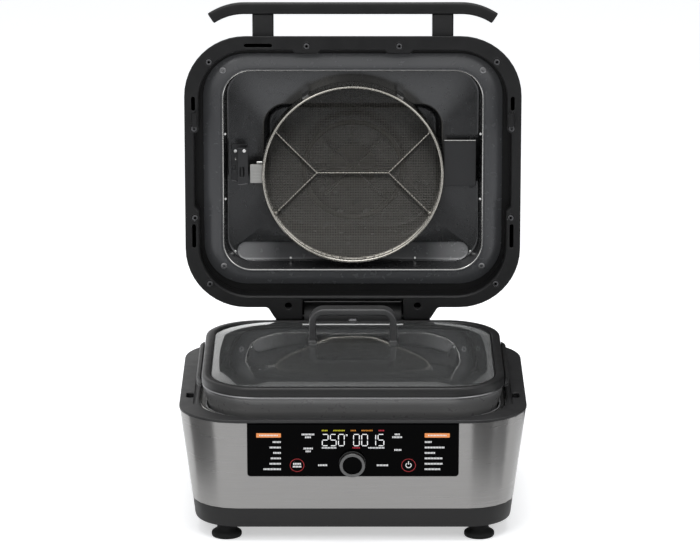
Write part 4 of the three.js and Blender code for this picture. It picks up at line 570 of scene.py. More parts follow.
def tube(name, routes, radius, sides=8, place=FLAT, closed=False):
    """Round wires along routes of points, all in one mesh."""
    points, faces = [], []
    for route in routes:
        route = [Vector(p) for p in route]
        first, count = len(points), len(route)
        for index, here in enumerate(route):
            before = route[index - 1] if index or closed else here
            after = route[(index + 1) % count] if index + 1 < count or closed else here
            along = (after - before).normalized()
            side = along.orthogonal() if abs(along.z) > 0.9 else along.cross(Vector((0, 0, 1)))
            side.normalize()
            up = side.cross(along)
            for a, b in disc(radius, (0, 0), sides):
                points.append(tuple(here + side * a + up * b))
        for index in range(count if closed else count - 1):
            faces += band(first + index * sides, first + (index + 1) % count * sides, sides)
        if not closed:
            last = first + (count - 1) * sides
            faces += [tuple(range(end, end + sides)) for end in (first, last)]
    return mesh_object(name, points, faces, place)


def joined(name, *objs):
    """Several meshes as one piece."""
    with bpy.context.temp_override(active_object=objs[0], selected_editable_objects=list(objs)):
        bpy.ops.object.join()
    objs[0].name = name
    return objs[0]


def boolean(obj, cutter, kind):
    cut = obj.modifiers.new(kind, "BOOLEAN")
    cut.object, cut.operation, cut.solver = cutter, kind, "EXACT"
    made = applied(obj)
    bpy.data.objects.remove(cutter)
    return made


# Crisping lid: x across, y up from the hinge edge, z out of its face
FAN_Y = middle_of("fan_blade", LID).y
FLANGE = shape_of("lid_liner", 52, place=LID)
CAVITY = (155.5, 122.7, 34, 164.1)
WELL = (105.7, 80.2, 25, FAN_Y, 60)
RECESS = (140, 11.5, 11.4, 57.5)
SHEET = 1.2
FLANGE_Z, CAVITY_FLOOR, WELL_FLOOR = -22, -50, -72
FACE_OUTLINE = both_halves([
    (60.8, 10, 1.5), (60.8, -14.5, 2.5), (93.2, -14.5, 4), (102.3, 0, 5),
    (WIDTH_X, 0, LID_ROUND), (WIDTH_X, LID_LENGTH, LID_ROUND),
])
OPENING_X, POCKET_X, OPENING_TOP, CATCH_TOP = 183.6, 189, 315.5, 311.5
OPENING_OUTLINE = both_halves([
    (OPENING_X, 14.2, 60), (OPENING_X, 118.5, 3), (POCKET_X, 124.5, 3), (POCKET_X, 214.5, 3),
    (OPENING_X, 220.5, 3), (OPENING_X, OPENING_TOP, 60),
    (72, OPENING_TOP, 3), (68, CATCH_TOP, 3), (42, CATCH_TOP, 3), (38, OPENING_TOP, 3),
])
HINGE_HOLE = (77.7, 1.7)
FRAME_SLOT_X = 190.2


def leaf(name, corners, radius, heights, edge, *holes):
    """A flat rectangle on the lid between two corners and two heights."""
    return plate(name, [filleted(rectangle(*corners), radius), *holes], *heights, edge, LID)


def hinge_half(side):
    """One barrel of the hinge under the frame, round the pin, and the web that carries it."""
    pin, middle_x, half_web = middle_of("hinge_pin", LID), side * 77, 15.8
    axis = LID @ at(middle_x, pin.y, pin.z) @ spun(90, "Y")
    profile = [(4.1, -16.2), (12.2, -16.2), (13, -15.4), (13, 15.4), (12.2, 16.2), (4.1, 16.2)]
    barrel = turned(f"lid_barrel_{side}", profile, 48, axis, True)
    corners = (middle_x - half_web, -14.2, middle_x + half_web, -0.6)
    return [barrel, leaf(f"lid_web_{side}", corners, 1, (-31, -2.9), 0.4)]


def lid_frame():
    face, opening = filleted(FACE_OUTLINE, 3), filleted(OPENING_OUTLINE, 3)
    holes = [disc(4.2, spot) for spot in mirrored([HINGE_HOLE])]
    holes.append(obround(-112.6, 321.8, 33.4, 4.3))
    for side in SIDES:
        holes += [obround(side * FRAME_SLOT_X, y, 4.5, length) for y, length in ((251, 17), (88.5, 29))]
    wide = offset(opening, 1.4)
    front = plate("lid_face", [face, wide, *holes], -1.8, 0, 0.7, LID)
    behind = plate("lid_behind", [offset(face, -0.05), offset(opening, 0.3), *holes], -3, -1.75, 0, LID)
    walls = [(1.9, -0.6), (1.2, -0.5), (0.3, -1.6), (0, -2.6), (0, -23.5), (2.5, -23.5), (2.5, -1.9)]
    rings = [raised(offset(opening, out), z) for out, z in walls]
    tunnel = loft("lid_tunnel", rings, closed=True, place=LID)
    ledge = plate("lid_ledge", [offset(opening, 2.5), outline(FLANGE, 5)], -26, -23.4, 0.2, LID)
    whole = joined("lid_frame_dressed", front, behind, tunnel, ledge, *hinge_half(-1), *hinge_half(1))
    stand_in(whole, "lid_frame", "lid_black")
    floors = [disc(4.6, spot) for spot in mirrored([HINGE_HOLE])]
    piece(plate("hinge_hole_floors", floors, -3.4, -3.05, 0, LID), "lid", "black_plastic", "gloss_black")


def pan(shape, draft, top, floor, round_in, sheet):
    """Rings down the wall of a pressed pan to its floor, on one face of the sheet."""
    rings = [level(shape, draft * share - sheet, top + (floor - top) * share) for share in (0.0, 0.5)]
    for a, b in arc(0, 0, round_in, 180, 270, 5):
        rings.append(level(shape, draft - sheet + round_in + a, floor + round_in + b))
    return rings


def lid_liner():
    flange_back, cavity_back, well_back = (z - SHEET for z in (FLANGE_Z, CAVITY_FLOOR, WELL_FLOOR))
    front = ring_of(FLANGE, [(0, FLANGE_Z - 0.6), (0.5, FLANGE_Z)])
    front += [level(CAVITY, a - 1.4, b + FLANGE_Z) for a, b in arc(0, 0, 1.2, 170, 20, 6)]
    front += pan(CAVITY, 3, flange_back, CAVITY_FLOOR, 4, 0)
    front += ring_of(WELL, [(-3, CAVITY_FLOOR), (-1, CAVITY_FLOOR - 0.6), (0, CAVITY_FLOOR - 2.5)])
    front += pan(WELL, 3, -54, WELL_FLOOR, 6, 0)
    back = ring_of(FLANGE, [(0, -22.8), (0.3, flange_back)])
    back += ring_of(CAVITY, [(-4, flange_back), (-1.3, -25)])
    back += pan(CAVITY, 3, -27, cavity_back, 5, SHEET)
    back += ring_of(WELL, [(-4, cavity_back), (-1.2, -54)])
    back += pan(WELL, 3, -56, well_back, 7, SHEET)
    hole = ring_of((5, 5, 4.99, FAN_Y), [(0, WELL_FLOOR), (0, well_back)])
    skin = loft("lid_liner_dressed", front + hole + back[::-1], closed=True, place=LID)
    outer = [(-1.2, -50.4), (-1.2, -52.4), (-0.2, -53.4)]
    inner = [(-0.9, -49), (-0.9, -50), (-0.2, -50.3), (0.2, -50.9), (0.8, -51.6), (1.8, -52.1), (3.2, -52.2)]
    for name, profile, kind in (("recess_out", outer, "UNION"), ("recess_in", inner, "DIFFERENCE")):
        skin = boolean(skin, loft(name, ring_of(RECESS, profile), capped=True, place=LID), kind)
    stand_in(skin, "lid_liner", angle=50)
    bead = [(-1.2, -22.1), (-1, -21.5), (-0.3, -21.2), (0.4, -21.5)]
    bead += [(0.7, -22.4), (0.3, -23.2), (-0.8, -22.9)]
    piece(moulding("cavity_trim", CAVITY, bead, LID), "lid", "bright_steel")


# Fan guard and its fittings
def guard_hoop():
    outside, inside = corners_of("guard_ring", LID)[1].x, 107.9
    profile = [(inside, -49.7), (outside, -49.7), (outside, -27.2), *arc(107.6, -26.9, 1.9, 0, 250, 10)]
    profile += [(inside, -30), (inside, -39.6), (107.2, -40), (105.6, -40), (105.6, -41.4), (inside, -41.6)]
    stand_in(turned("guard_hoop_dressed", profile, 120, LID @ at(0, FAN_Y, 0), True), "guard_ring")


def guard_mesh():
    """Woven wire: each wire passes over and under the ones that cross it."""
    pitch, wave, radius, reach, depth = 2.0, 0.24, 0.33, 107.4, -39.35
    points, faces = [], []
    lines = int(reach / pitch)
    for way in (0, 1):
        for line in range(-lines, lines + 1):
            across = line * pitch
            steps = int(math.sqrt(reach**2 - across**2) / pitch)
            first = len(points)
            for step in range(-steps, steps + 1):
                over = wave if (line + step + way) % 2 else -wave
                here = (step * pitch, across) if way else (across, step * pitch)
                aside = (0, radius) if way else (radius, 0)
                for side, lift in ((1, 0), (0, radius), (-1, 0), (0, -radius)):
                    x, y = here[0] + side * aside[0], here[1] + side * aside[1]
                    points.append((x, FAN_Y + y, depth + over + lift))
            last = first + 8 * steps
            for start in range(first, last, 4):
                faces += band(start, start + 4, 4)
            faces += [tuple(range(end, end + 4)) for end in (first, last)]
    woven = mesh_object("guard_mesh_dressed", points, faces, LID)
    stand_in(woven, "guard_mesh", angle=80)


def twisted(start, end, pitch=8.0, swing=0.4):
    """Two strands twisted round each other from start to end."""
    start, end, up = Vector(start), Vector(end), Vector((0, 0, 1))
    side = (end - start).normalized().cross(up)
    strands = ([], [])
    steps = int((end - start).length / pitch * 8)
    for step in range(steps + 1):
        angle = 2 * math.pi * step / 8
        here = start + (end - start) * step / steps
        swung = swing * (side * math.cos(angle) + up * math.sin(angle))
        strands[0].append(here + swung)
        strands[1].append(here - swung)
    return strands


def guard_wire():
    depth, fork_x, end_x, rise = -37.5, 43.5, 93.5, 50.8
    routes = list(twisted((-fork_x, FAN_Y, depth), (fork_x, FAN_Y, depth)))
    ends = [(side_x * end_x, FAN_Y + side_y * rise, depth) for side_x in SIDES for side_y in SIDES]
    for end in ends:
        routes += twisted((math.copysign(fork_x - 0.5, end[0]), FAN_Y, depth), end)
    wire = tube("guard_wire_dressed", routes, 0.5, 6, LID)
    stand_in(wire, "guard_wire", angle=60)
    weld = [(0, 0.5), (1.6, 0.35), (2.4, -0.2), (2.4, -1.0), (0, -1.0)]
    welds = [turned(f"weld_{index}", weld, 16, LID @ at(*end)) for index, end in enumerate(ends)]
    piece(joined("guard_welds", *welds), "guard", "bright_steel", "hoop")


def guard_tab():
    parts = [leaf("tab_plate", (-123.4, 146.4, -108.9, 169.2), 1, (-35, -31), 0.6)]
    for y in range(149, 166, 4):
        parts.append(leaf(f"tab_rib_{y}", (-121.5, y, -111.5, y + 1.6), 0.5, (-31.2, -30.8), 0.15))
    stand_in(joined("guard_tab_dressed", *parts), "guard_tab")
    profile = [(0, -3), (1.5, -3), (1.9, -2.6), (1.9, 3.6), (1.2, 4.2), (0, 4.4)]
    pin = turned("guard_latch_pin", profile, 20, LID @ at(-112.6, 171.6, -33) @ spun(90, "Y"))
    strap = leaf("pin_strap", (-115.6, 168.6, -110.6, 172.6), 0.6, (-34.6, -33.8), 0.2)
    piece(joined("guard_latch_pin", pin, strap), "guard", "bright_steel")


FOOT_LEAF, BRACKET_LIP = (-49.7, -48.1), (-31.6, -30)


def latch_bracket():
    finger = rounded(1.1, 5.4, 0.6, (-133.2, 159.6), 3)
    window, slot = rounded(1.8, 2.6, 0.5, (-143, 161.5), 3), rounded(3, 6.2, 1, (-133.2, 160.2), 3)
    parts = [
        leaf("bracket_foot", (-146, 145, -126.2, 190), 1.5, FOOT_LEAF, 0.3, window),
        leaf("bracket_lip", (-138.2, 145, -126, 190), 1.2, BRACKET_LIP, 0.35, slot),
        leaf("bracket_wall", (-127.6, 145.2, -126, 189.8), 0.2, (-49, -31), 0),
        plate("bracket_finger", [finger], -33.6, -32.2, 0.3, LID),
    ]
    stand_in(joined("guard_bracket_dressed", *parts), "guard_latch_bracket", "pressed")
    foot_hem = [(-145.6, 146, -47.6), (-140, 144.9, -47.6)]
    lip_hem = [(-138, 144.9, -30.6), (-132, 145.3, -30.2), (-126.6, 146, -30.2)]
    piece(tube("guard_bracket_edge", [foot_hem, lip_hem], 0.42, 6, LID), "lid", "bright_steel", "zinc")


def rest_plate():
    parts = [
        leaf("rest_face", (109.9, 141, 148, 197.4), 1.4, (-40.9, -39.3), 0.4),
        leaf("rest_riser", (140.4, 141.3, 142, 197.1), 0.2, (-49, -40), 0),
        leaf("rest_foot", (140.6, 137, 146, 200), 1, FOOT_LEAF, 0.3),
    ]
    stand_in(joined("guard_rest_dressed", *parts), "guard_rest_plate", "pressed")
    trim = [[(110, 197.2, -39.3), (147.6, 197.2, -39.3)]]
    piece(tube("guard_rest_edge", trim, 0.9, 8, LID), "lid", "bright_steel")


# Screws and rivets
def head(name, x, y, z, radius, place, socket, rise):
    """A screw's or rivet's round head; socket is the share of its radius that the driver's hole takes."""
    profile = [(0, rise)]
    if socket:
        low = rise - 1.1
        profile = [(0, low), (radius * socket, low), (radius * socket + 0.1, rise - 0.1)]
    profile += [(radius * 0.72, rise), (radius * 0.94, rise * 0.7), (radius, 0.1), (radius, -0.4), (0, -0.4)]
    return turned(name, profile, 20, place @ at(x, y, z))


def heads(name, look, spots, z, radius, body="lid", place=LID, socket=0.42, rise=1.2):
    made = [head(f"{name}_{i}", x, y, z, radius, place, socket, rise) for i, (x, y) in enumerate(spots)]
    piece(joined(name, *made), body, "bright_steel", look)


def lid_fasteners():
    frame_spots = mirrored([(55, 321.3), (171, 302.1), (189.3, 220.9), (189, 111.3), (171.6, 29.4)])
    heads("lid_frame_screws", "screw", frame_spots, 0, 3.6, rise=1.1)
    collar = [(3.7, 0), (4.6, 0.5), (5.2, 0.35), (5.5, -0.2), (3.7, -0.2)]
    collars = [turned("collar", collar, 28, LID @ at(*spot, 0), True) for spot in frame_spots]
    piece(joined("lid_screw_collars", *collars), "lid", "black_plastic")
    long_ribs = [(side * x, 235.5) for side in SIDES for x in (187.8, FRAME_SLOT_X, 192.6)]
    ribs = [rounded(0.5, 6, 0.45, spot, 3) for spot in long_ribs]
    ribs += [rounded(3.4, 0.5, 0.45, (side * FRAME_SLOT_X, y), 3) for side in SIDES for y in (228, 226)]
    ribs += [rounded(1.1, 1.1, 1.05, (side * 185.4, 236.5), 4) for side in SIDES]
    piece(plate("lid_catch_ribs", ribs, -0.3, 0.8, 0.25, LID), "lid", "black_plastic", "cover")
    heads("flange_screws", "zinc", mirrored([(155.3, 287.4), (155.3, 45.8)]), FLANGE_Z, 4.0)
    for name, spots, z, radius, rise in (
        ("wall_rivets", mirrored([(153.2, 207.9), (153.2, 127.8)]), -27, 1.5, 0.8),
        ("floor_rivets", mirrored([(142.4, 56.7), (75.2, 48.5)]), CAVITY_FLOOR, 1.5, 0.8),
        ("bracket_rivet_low", [(-141.5, 182)], FOOT_LEAF[1], 2.1, 1.2),
        ("bracket_rivet_high", [(-130.4, 186.4)], BRACKET_LIP[1], 2.1, 1.2),
    ):
        heads(name, "rivet", spots, z, radius, socket=0, rise=rise)
    heads("bracket_pin", "bright_steel", [(-141.3, 172.4)], FOOT_LEAF[1], 1.5)


def upper_heater():
    radius, wire, z, leg_x, leg_end = 59, 3.4, -53.5, 16, -80
    ring = tube("heater_ring", [raised(disc(radius, (0, FAN_Y), 96), z)], wire, 12, LID, True)
    leg_y = FAN_Y - math.sqrt(radius**2 - leg_x**2)
    routes = [[(side * leg_x, leg_y, z), (side * leg_x, leg_y, leg_end)] for side in SIDES]
    legs = tube("heater_legs", routes, wire, 12, LID)
    stand_in(joined("upper_heater_dressed", ring, legs), "upper_heater", "heater")


# Base: the part's own axes, with the control panel in the frame of the sloping front
DECK = shape_of("deck_frame", 68)
BASE_Y = DECK[3]
HOLE = shape_of("base_liner", 66, 0.5)
RING = shape_of("lid_rim_ring", 65)
POT = shape_of("lid_rim_ring", 63, -2)
GRIP_Y = middle_of("lid_grip").y
REAR_Y = corners_of("rear_hinge_housing")[1].y
PEG_SOCKET = tuple(middle_of("lid_switch_right").xy)
wrap_low, wrap_high = corners_of("steel_wrap")
FRONT_LEAN = math.atan2(13.9, wrap_high.z - wrap_low.z)
FACE = at(0, wrap_low.y, wrap_high.z) @ Matrix.Rotation(math.pi / 2 + FRONT_LEAN, 4, "X")
PANEL_TOP, PANEL_FRONT = -1.0, 0.8
TRAY_FLOOR = corners_of("base_tray")[0].z
DECK_TOP = corners_of("deck_frame")[1].z
GROOVE_X = 182


def peg_hole(spot, out=0):
    """A peg socket's outline, or one round it."""
    return rounded(4.2 + out, 10 + out, 4.1 + out, spot, 5)


def deck():
    holes = [obround(side * GROOVE_X, BASE_Y, 2.4, 197) for side in SIDES]
    spots = mirrored([PEG_SOCKET])
    holes += [peg_hole(spot) for spot in spots]
    floors = [obround(side * GROOVE_X, BASE_Y, 4.4, 199) for side in SIDES]
    ledge = [(-2.5, 147.2), (0, 147.2), (0, 145.8), (5, 145.8)]
    ledge += [(5, 143.3), (0, 143.3), (0, 140.8), (-2.5, 140.8)]
    parts = [
        plate("deck_top", [outline(DECK, 0), outline(HOLE, 0), *holes], DECK_TOP - 3.2, DECK_TOP, 0.9),
        plate("groove_floors", floors, 147.4, 148.4),
        moulding("deck_ledge", HOLE, ledge),
    ]
    for spot in spots:
        walls = [raised(peg_hole(spot, out), z) for out, z in ((0, 147), (0, 141.5), (2, 141.5), (2, 147))]
        parts.append(loft("peg_socket", walls, closed=True))
    stand_in(joined("deck_dressed", *parts), "deck_frame", "deck")


def tray():
    wall = [(18.5, 46.3), (16, 46.3), (16, 40.3), (15.5, 40.3), (15.1, 39.9), (17.3, 21.6)]
    wall += [*arc(21.7, 20.4, 4, 180, 270, 6), (21.7, 18.9), (20.3, 20.2)]
    shell = moulding("tray_wall", DECK, wall)
    middle_x, pitch, row_y = 60, 9, 44
    slots = [
        obround(side * middle_x + step * pitch, BASE_Y + row * row_y, 4, 34)
        for side in SIDES for step in range(-4, 5) for row in SIDES
    ]
    floor = plate("tray_floor", [outline(DECK, 21.5), *slots], TRAY_FLOOR, 18.9, 0.3)
    stand_in(joined("tray_dressed", shell, floor), "base_tray")
    spots = [(side * 118, -y) for side in SIDES for y in (-150, BASE_Y, 43.5)]
    heads("tray_screws", "screw", spots, 0, 3.6, "base", at(0, 0, TRAY_FLOOR) @ spun(180, "X"))


def feet():
    profile = [(0, 0), (15.3, 0), (16.8, 0.6), (17.5, 2.2), (17.5, 4.4), (16.9, 5.8), (15.2, 7.0)]
    profile += [(12.9, 8.4), (11.4, 10.2), (10.9, 12), (11.3, 13.8), (12.5, 15.4)]
    profile += [(12.6, TRAY_FLOOR), (0, TRAY_FLOOR)]
    for node in ("foot_front_left", "foot_front_right", "foot_rear_left", "foot_rear_right"):
        spot = middle_of(node)
        made = turned(f"{node}_dressed", profile, 64, at(spot.x, spot.y, 0))
        stand_in(made, node, angle=50)


def liner_bead():
    bead = [(0.9, 146.9), (1.0, 148.3), (1.7, 149), (2.6, 149)]
    bead += [(3.2, 148.4), (5.6, 147.9), (6.6, 147.2), (6.6, 146.9)]
    piece(moulding("liner_bead", HOLE, bead), "base", "grey_coating", "bright_steel")


# Control panel marks: x from the middle, drop below the panel's top edge
def mark(x, drop, width, height, corner=0.3):
    corner = min(corner, width / 2 - 0.01, height / 2 - 0.01)
    return rounded(width / 2, height / 2, corner, (x + width / 2, PANEL_TOP - drop), 2)


def word(x, drop, width, height=2.25, letter=1.2, gap=0.5):
    """A row of small blocks where the real panel has a word."""
    count = max(2, round((width + gap) / (letter + gap)))
    pitch = (width + gap) / count
    return [mark(x + index * pitch, drop, pitch - gap, height) for index in range(count)]


def words_about(x, drop, *widths):
    made = []
    for row, width in enumerate(widths):
        made += word(x - width / 2, drop + row * 3.5, width)
    return made


DIGIT_WIDTH, DIGIT_HEIGHT, STROKE = 7.5, 14.2, 0.95
SEGMENTS = {"0": "abcdef", "1": "bc", "2": "abged", "5": "afgcd"}


def digit(value, x, drop):
    half = DIGIT_HEIGHT / 2
    across, down = DIGIT_WIDTH - 2, half - 1.5
    right = x + DIGIT_WIDTH - STROKE
    places = {
        "a": (x + 1, drop, across, STROKE),
        "g": (x + 1, drop + half, across, STROKE),
        "d": (x + 1, drop + DIGIT_HEIGHT, across, STROKE),
        "f": (x, drop + half / 2, STROKE, down),
        "e": (x, drop + 1.5 * half, STROKE, down),
        "b": (right, drop + half / 2, STROKE, down),
        "c": (right, drop + 1.5 * half, STROKE, down),
    }
    return [mark(*places[segment], 0.4) for segment in SEGMENTS[value]]


def hoop(radius, width, x, drop):
    return [disc(reach, (x, PANEL_TOP - drop), 48) for reach in (radius, radius - width)]


def printed(name, look, outlines, lift=0.02):
    low = PANEL_FRONT + lift
    piece(plate(name, outlines, low, low + 0.06, 0, FACE), "base", "gloss_black", look)


POWER_X, START_X, KEY_DROP, KNOB_DROP = 63.4, -63.8, 50.9, 48
LAMP_DROP, LAMP_HEIGHT, DIGIT_DROP, LABEL_DROP = 7.4, 1.7, 12.2, 29


def white_print():
    """The programme columns, the words round the knob, and the sign on the power key."""
    made = []
    left_column, right_column = (9.2, 12.6, 8.6, 11.4, 12.8, 19.8), (7.6, 22.3, 11.6, 20.0, 20.2, 17.7)
    for row, (left, right) in enumerate(zip(left_column, right_column)):
        drop = 21.8 + 6.8 * row
        made += word(-82.3 - left, drop, left) + word(81.8, drop, right)
    for x, drop, *widths in (
        (-51.3, 12.3, 14.3, 6.5), (-51.1, 29.9, 10.5, 5.7), (-34.6, 50.8, 10.2), (50.3, 12.2, 5.7, 11),
        (51.1, 31.7, 8), (33.6, 50.9, 12.8), (START_X, 49.1, 8.8, 9.6),
    ):
        made += words_about(x, drop, *widths)
    made += word(-35.5, LABEL_DROP, 16.5, 1.9) + word(17.4, LABEL_DROP, 18.3, 1.9)
    middle = PANEL_TOP - KEY_DROP
    ring = arc(POWER_X, middle, 3.5, -235, 55, 29) + arc(POWER_X, middle, 2.6, 55, -235, 29)
    return made + [ring, mark(POWER_X - 0.45, 47.9, 0.9, 4.4)]


def lamp_words(*places):
    return [block for x, width in places for block in word(x, LAMP_DROP, width, LAMP_HEIGHT)]


def panel_marks():
    printed("panel_print_white", "ink_white", white_print())
    lit = []
    for value, x in zip("2500015", (-35.4, -26.2, -17.0, 0.2, 9.5, 18.8, 28.1)):
        lit += digit(value, x, DIGIT_DROP)
    printed("panel_digits", "led_white", lit + hoop(1.1, 0.5, -7.2, 13.2))
    printed("panel_print_yellow", "ink_yellow", lamp_words((-35.5, 6.5), (-22.3, 12.7)))
    printed("panel_print_amber", "ink_amber", lamp_words((-2.6, 5.8), (9.7, 12.5)))
    red = lamp_words((29.1, 6.3)) + word(-0.5, LABEL_DROP, 8.4, LAMP_HEIGHT)
    printed("panel_print_red", "ink_red", red)
    keys = [edge for x in (START_X, POWER_X) for edge in hoop(8.2, 0.6, x, KEY_DROP)]
    printed("panel_key_rings", "ink_key", keys)
    badge_drop = 13.5
    badges = [mark(-110.1, badge_drop, 28.1, 5.4, 0.6), mark(81.6, badge_drop, 28.5, 5.4, 0.6)]
    printed("panel_badges", "ink_orange", badges)
    badge_words = word(-106.6, badge_drop, 21, LAMP_HEIGHT) + word(85.4, badge_drop, 21, LAMP_HEIGHT)
    printed("panel_badge_print", "ink_white", badge_words, 0.1)


def knob():
    at_knob = FACE @ at(middle_of("knob_ring").x, PANEL_TOP - KNOB_DROP, 0)
    ring = [(3.3, 1.1), (14.6, 1.1), (15.1, 1.6), (15.05, 2.4), (15.0, 2.5, 0.3), (14.8, 7.3, 0.3)]
    ring += [(14.75, 7.4), (14.6, 8.2), (14.2, 8.65), (13.6, 8.8), (11.5, 8.8), (11.15, 8.6)]
    ring += [(11, 8.2), (10.95, 5.1), (3.3, 5.1)]
    stand_in(turned("knob_ring_dressed", ring, 160, at_knob, True), "knob_ring", angle=50)
    cap = [(0, 5.4), (10.6, 5.4), (10.7, 7.2), (10.2, 7.7), (9.4, 7.75), (8.8, 7.5), (0, 7.45)]
    stand_in(turned("knob_cap_dressed", cap, 96, at_knob), "knob_cap")


# Pot and glass lid
def ear(side):
    """One carrying ear of the pot: a floor and a round-edged block, outside the rim."""
    tip, lip, root = corners_of("pot")[1].x, 174.9, 170
    wide = [p for p in rounded(tip, 90, 26, (0, POT[3]), 12) if p[0] >= lip]
    floor = [(root, wide[0][1]), *wide, (root, wide[-1][1])]
    if side < 0:
        floor, wide = [(-x, y) for x, y in floor[::-1]], [(-x, y) for x, y in wide[::-1]]
    under = plate("ear_floor", [floor], 165, 167.4, 0.4)
    return [under, plate("ear_block", [wide], 167, 174.5, 1.6, steps=3)]


def pot():
    foot_round, sheet = 12, 1.6
    rings = arc(26, 87.3, foot_round, 270, 180, 9)
    rings += [(6.6, 141), (6.2, 145), (5.2, 149), (3.6, 153.5), (2, 158), (0.8, 162.5), (0.2, 166.5)]
    rings += [(0, 169.4), (0.3, 170.6), (1, 171.4), (2, 171.7)]
    rings += [(5.6, 171.7), (7.2, 171.2), (8, 170), (8.2, 168.6)]
    rings += arc(26 + sheet, 87.3 + sheet, foot_round, 180, 270, 9)
    stand_in(loft("pot_dressed", ring_of(POT, rings), capped=True), "pot", angle=30)
    lip = [(0.4, 168.4), (-0.7, 168.7), (-1.2, 169.5), (-1.2, 170.6), (-0.7, 171.4), (0.4, 171.8)]
    lip += [(1.2, 171.8), (1.2, 168.4)]
    piece(moulding("pot_rim_bead", POT, lip), "pot", "dark_coating", "zinc")
    piece(joined("pot_ears", *ear(-1), *ear(1)), "pot", "dark_coating", "black_silicone", angle=30)


def level_marks():
    """Five short bars on the pot's back wall, which leans."""
    wall_y, lean, wall_top, lowest, pitch = 78.6, 0.075, 165, 98, 13
    back = at(0, wall_y, 0) @ spun(90, "X")
    ticks = []
    for index in range(5):
        half, z = (4.5 if index % 2 else 8), lowest + pitch * index
        depth = lean * (wall_top - z)
        ticks.append(plate("tick", [rounded(half, 0.5, 0.49, (0, z), 3)], depth, depth + 1.6, 0.2, back))
    piece(joined("pot_level_marks", *ticks), "pot", "dark_coating")


def glass_ring():
    rim = [(0.7, 172), (0, 172.7), (0, 179.4), (0.25, 180.8), (0.9, 181.9), (2.1, 182.5), (8.3, 182.5)]
    rim += [(9.3, 182.2), (9.9, 181.6), (10, 180.7), (4, 180.7), (4, 174.9), (8, 174.9), (8, 172)]
    stand_in(moulding("lid_rim_ring_dressed", RING, rim), "lid_rim_ring", angle=40)
    seat = [(10.2, 180.5), (10.3, 181.3), (10.9, 181.6), (11.6, 181.2), (11.8, 179.2), (10.2, 179.2)]
    piece(moulding("glass_seal", RING, seat), "glass_lid", "black_silicone", "black_matt", angle=40)


GLASS = shape_of("lid_glass", 60.7)


def dome_ring(share, drop):
    """A ring of the glass at a share of its reach; the power keeps the middle flat and the edge steep."""
    edge_z, height, power = 178.8, 19, 3.2
    z = edge_z + height * (1 - share**power) - drop
    return [(x * share, GLASS[3] + y * share, z) for x, y in rounded(*GLASS[:3])]


def glass_dome():
    shares = [0.03, 0.12, 0.24, 0.36, 0.46, 0.55, 0.63, 0.7, 0.76, 0.82, 0.87, 0.92, 0.96, 1.0]
    thickness = 3.6
    rings = [dome_ring(share, 0) for share in shares]
    rings += [dome_ring(share, thickness) for share in shares[::-1]]
    stand_in(loft("lid_glass_dressed", rings, capped=True), "lid_glass", angle=60)


def swept(name, stations, section, across, place=FLAT):
    """A bar of one section along stations of place, outward direction and scale."""
    rings = []
    for here, out, scale in stations:
        spot, out, side = Vector(here), Vector(out), Vector(across)
        rings.append([tuple(spot + out * u * scale + side * w * scale) for u, w in section])
    return loft(name, rings, capped=True, place=place)


def bend(centre, radius, start, end, steps, depth, flat):
    """Stations round an arc; flat says whether it lies in the XY plane or stands in XZ."""
    outs = arc(0, 0, 1, start, end, steps)
    spots = arc(*centre, radius, start, end, steps)
    if flat:
        return [((a, b, depth), (u, w, 0), 1) for (a, b), (u, w) in zip(spots, outs)]
    return [((a, depth, b), (u, 0, w), 1) for (a, b), (u, w) in zip(spots, outs)]


def grip():
    foot_x, foot_z, turn_x, turn_z, turn = 47, 196, 34, 220.65, 13
    stations = [((-foot_x, GRIP_Y, foot_z), (-1, 0, 0), 1)]
    stations += bend((-turn_x, turn_z), turn, 180, 90, 10, GRIP_Y, False)
    stations += bend((turn_x, turn_z), turn, 90, 0, 10, GRIP_Y, False)
    stations.append(((foot_x, GRIP_Y, foot_z), (1, 0, 0), 1))
    parts = [swept("grip_strap", stations, rounded(4, 10, 1.9, (0, 0), 4), (0, 1, 0))]
    for side in SIDES:
        rings = []
        for inset, z in ((0, 195.6), (0, 198.4), (0.5, 199.4), (1.2, 200), (1.5, 201.6)):
            pad = rounded(5.4 - inset, 11 - inset, 2.6 - inset * 0.4, (side * foot_x, GRIP_Y), 5)
            rings.append(raised(pad, z))
        parts.append(loft("grip_foot", rings, capped=True))
    stand_in(joined("lid_grip_dressed", *parts), "lid_grip", "grip", angle=40, slot="black_silicone")
    ribs = [rounded(0.75, 6.6, 0.7, (index * 3.1, GRIP_Y), 3) for index in range(-9, 10)]
    piece(plate("grip_ribs", ribs, 237.2, 238.1, 0.35), "glass_lid", "black_silicone", "grip")


def steam_vent():
    rings = []
    middle = (0, middle_of("steam_vent").y)
    for inset, z in ((0, 182.4), (0, 183.6), (0.5, 184.4), (1.3, 184.8), (2.1, 184.7), (2.3, 184)):
        rings.append(raised(rounded(6 - inset, 3.6 - inset, 3.5 - inset, middle, 6), z))
    made = loft("steam_vent_dressed", rings, capped=True)
    stand_in(made, "steam_vent", "screw", slot="bright_steel")


# Lid handle and cover, in the lid's own frame
COVER = (WIDTH_X, LID_LENGTH / 2, LID_ROUND, LID_LENGTH / 2)
COVER_SLOPE = 3.0
COVER_WALL = 2.5


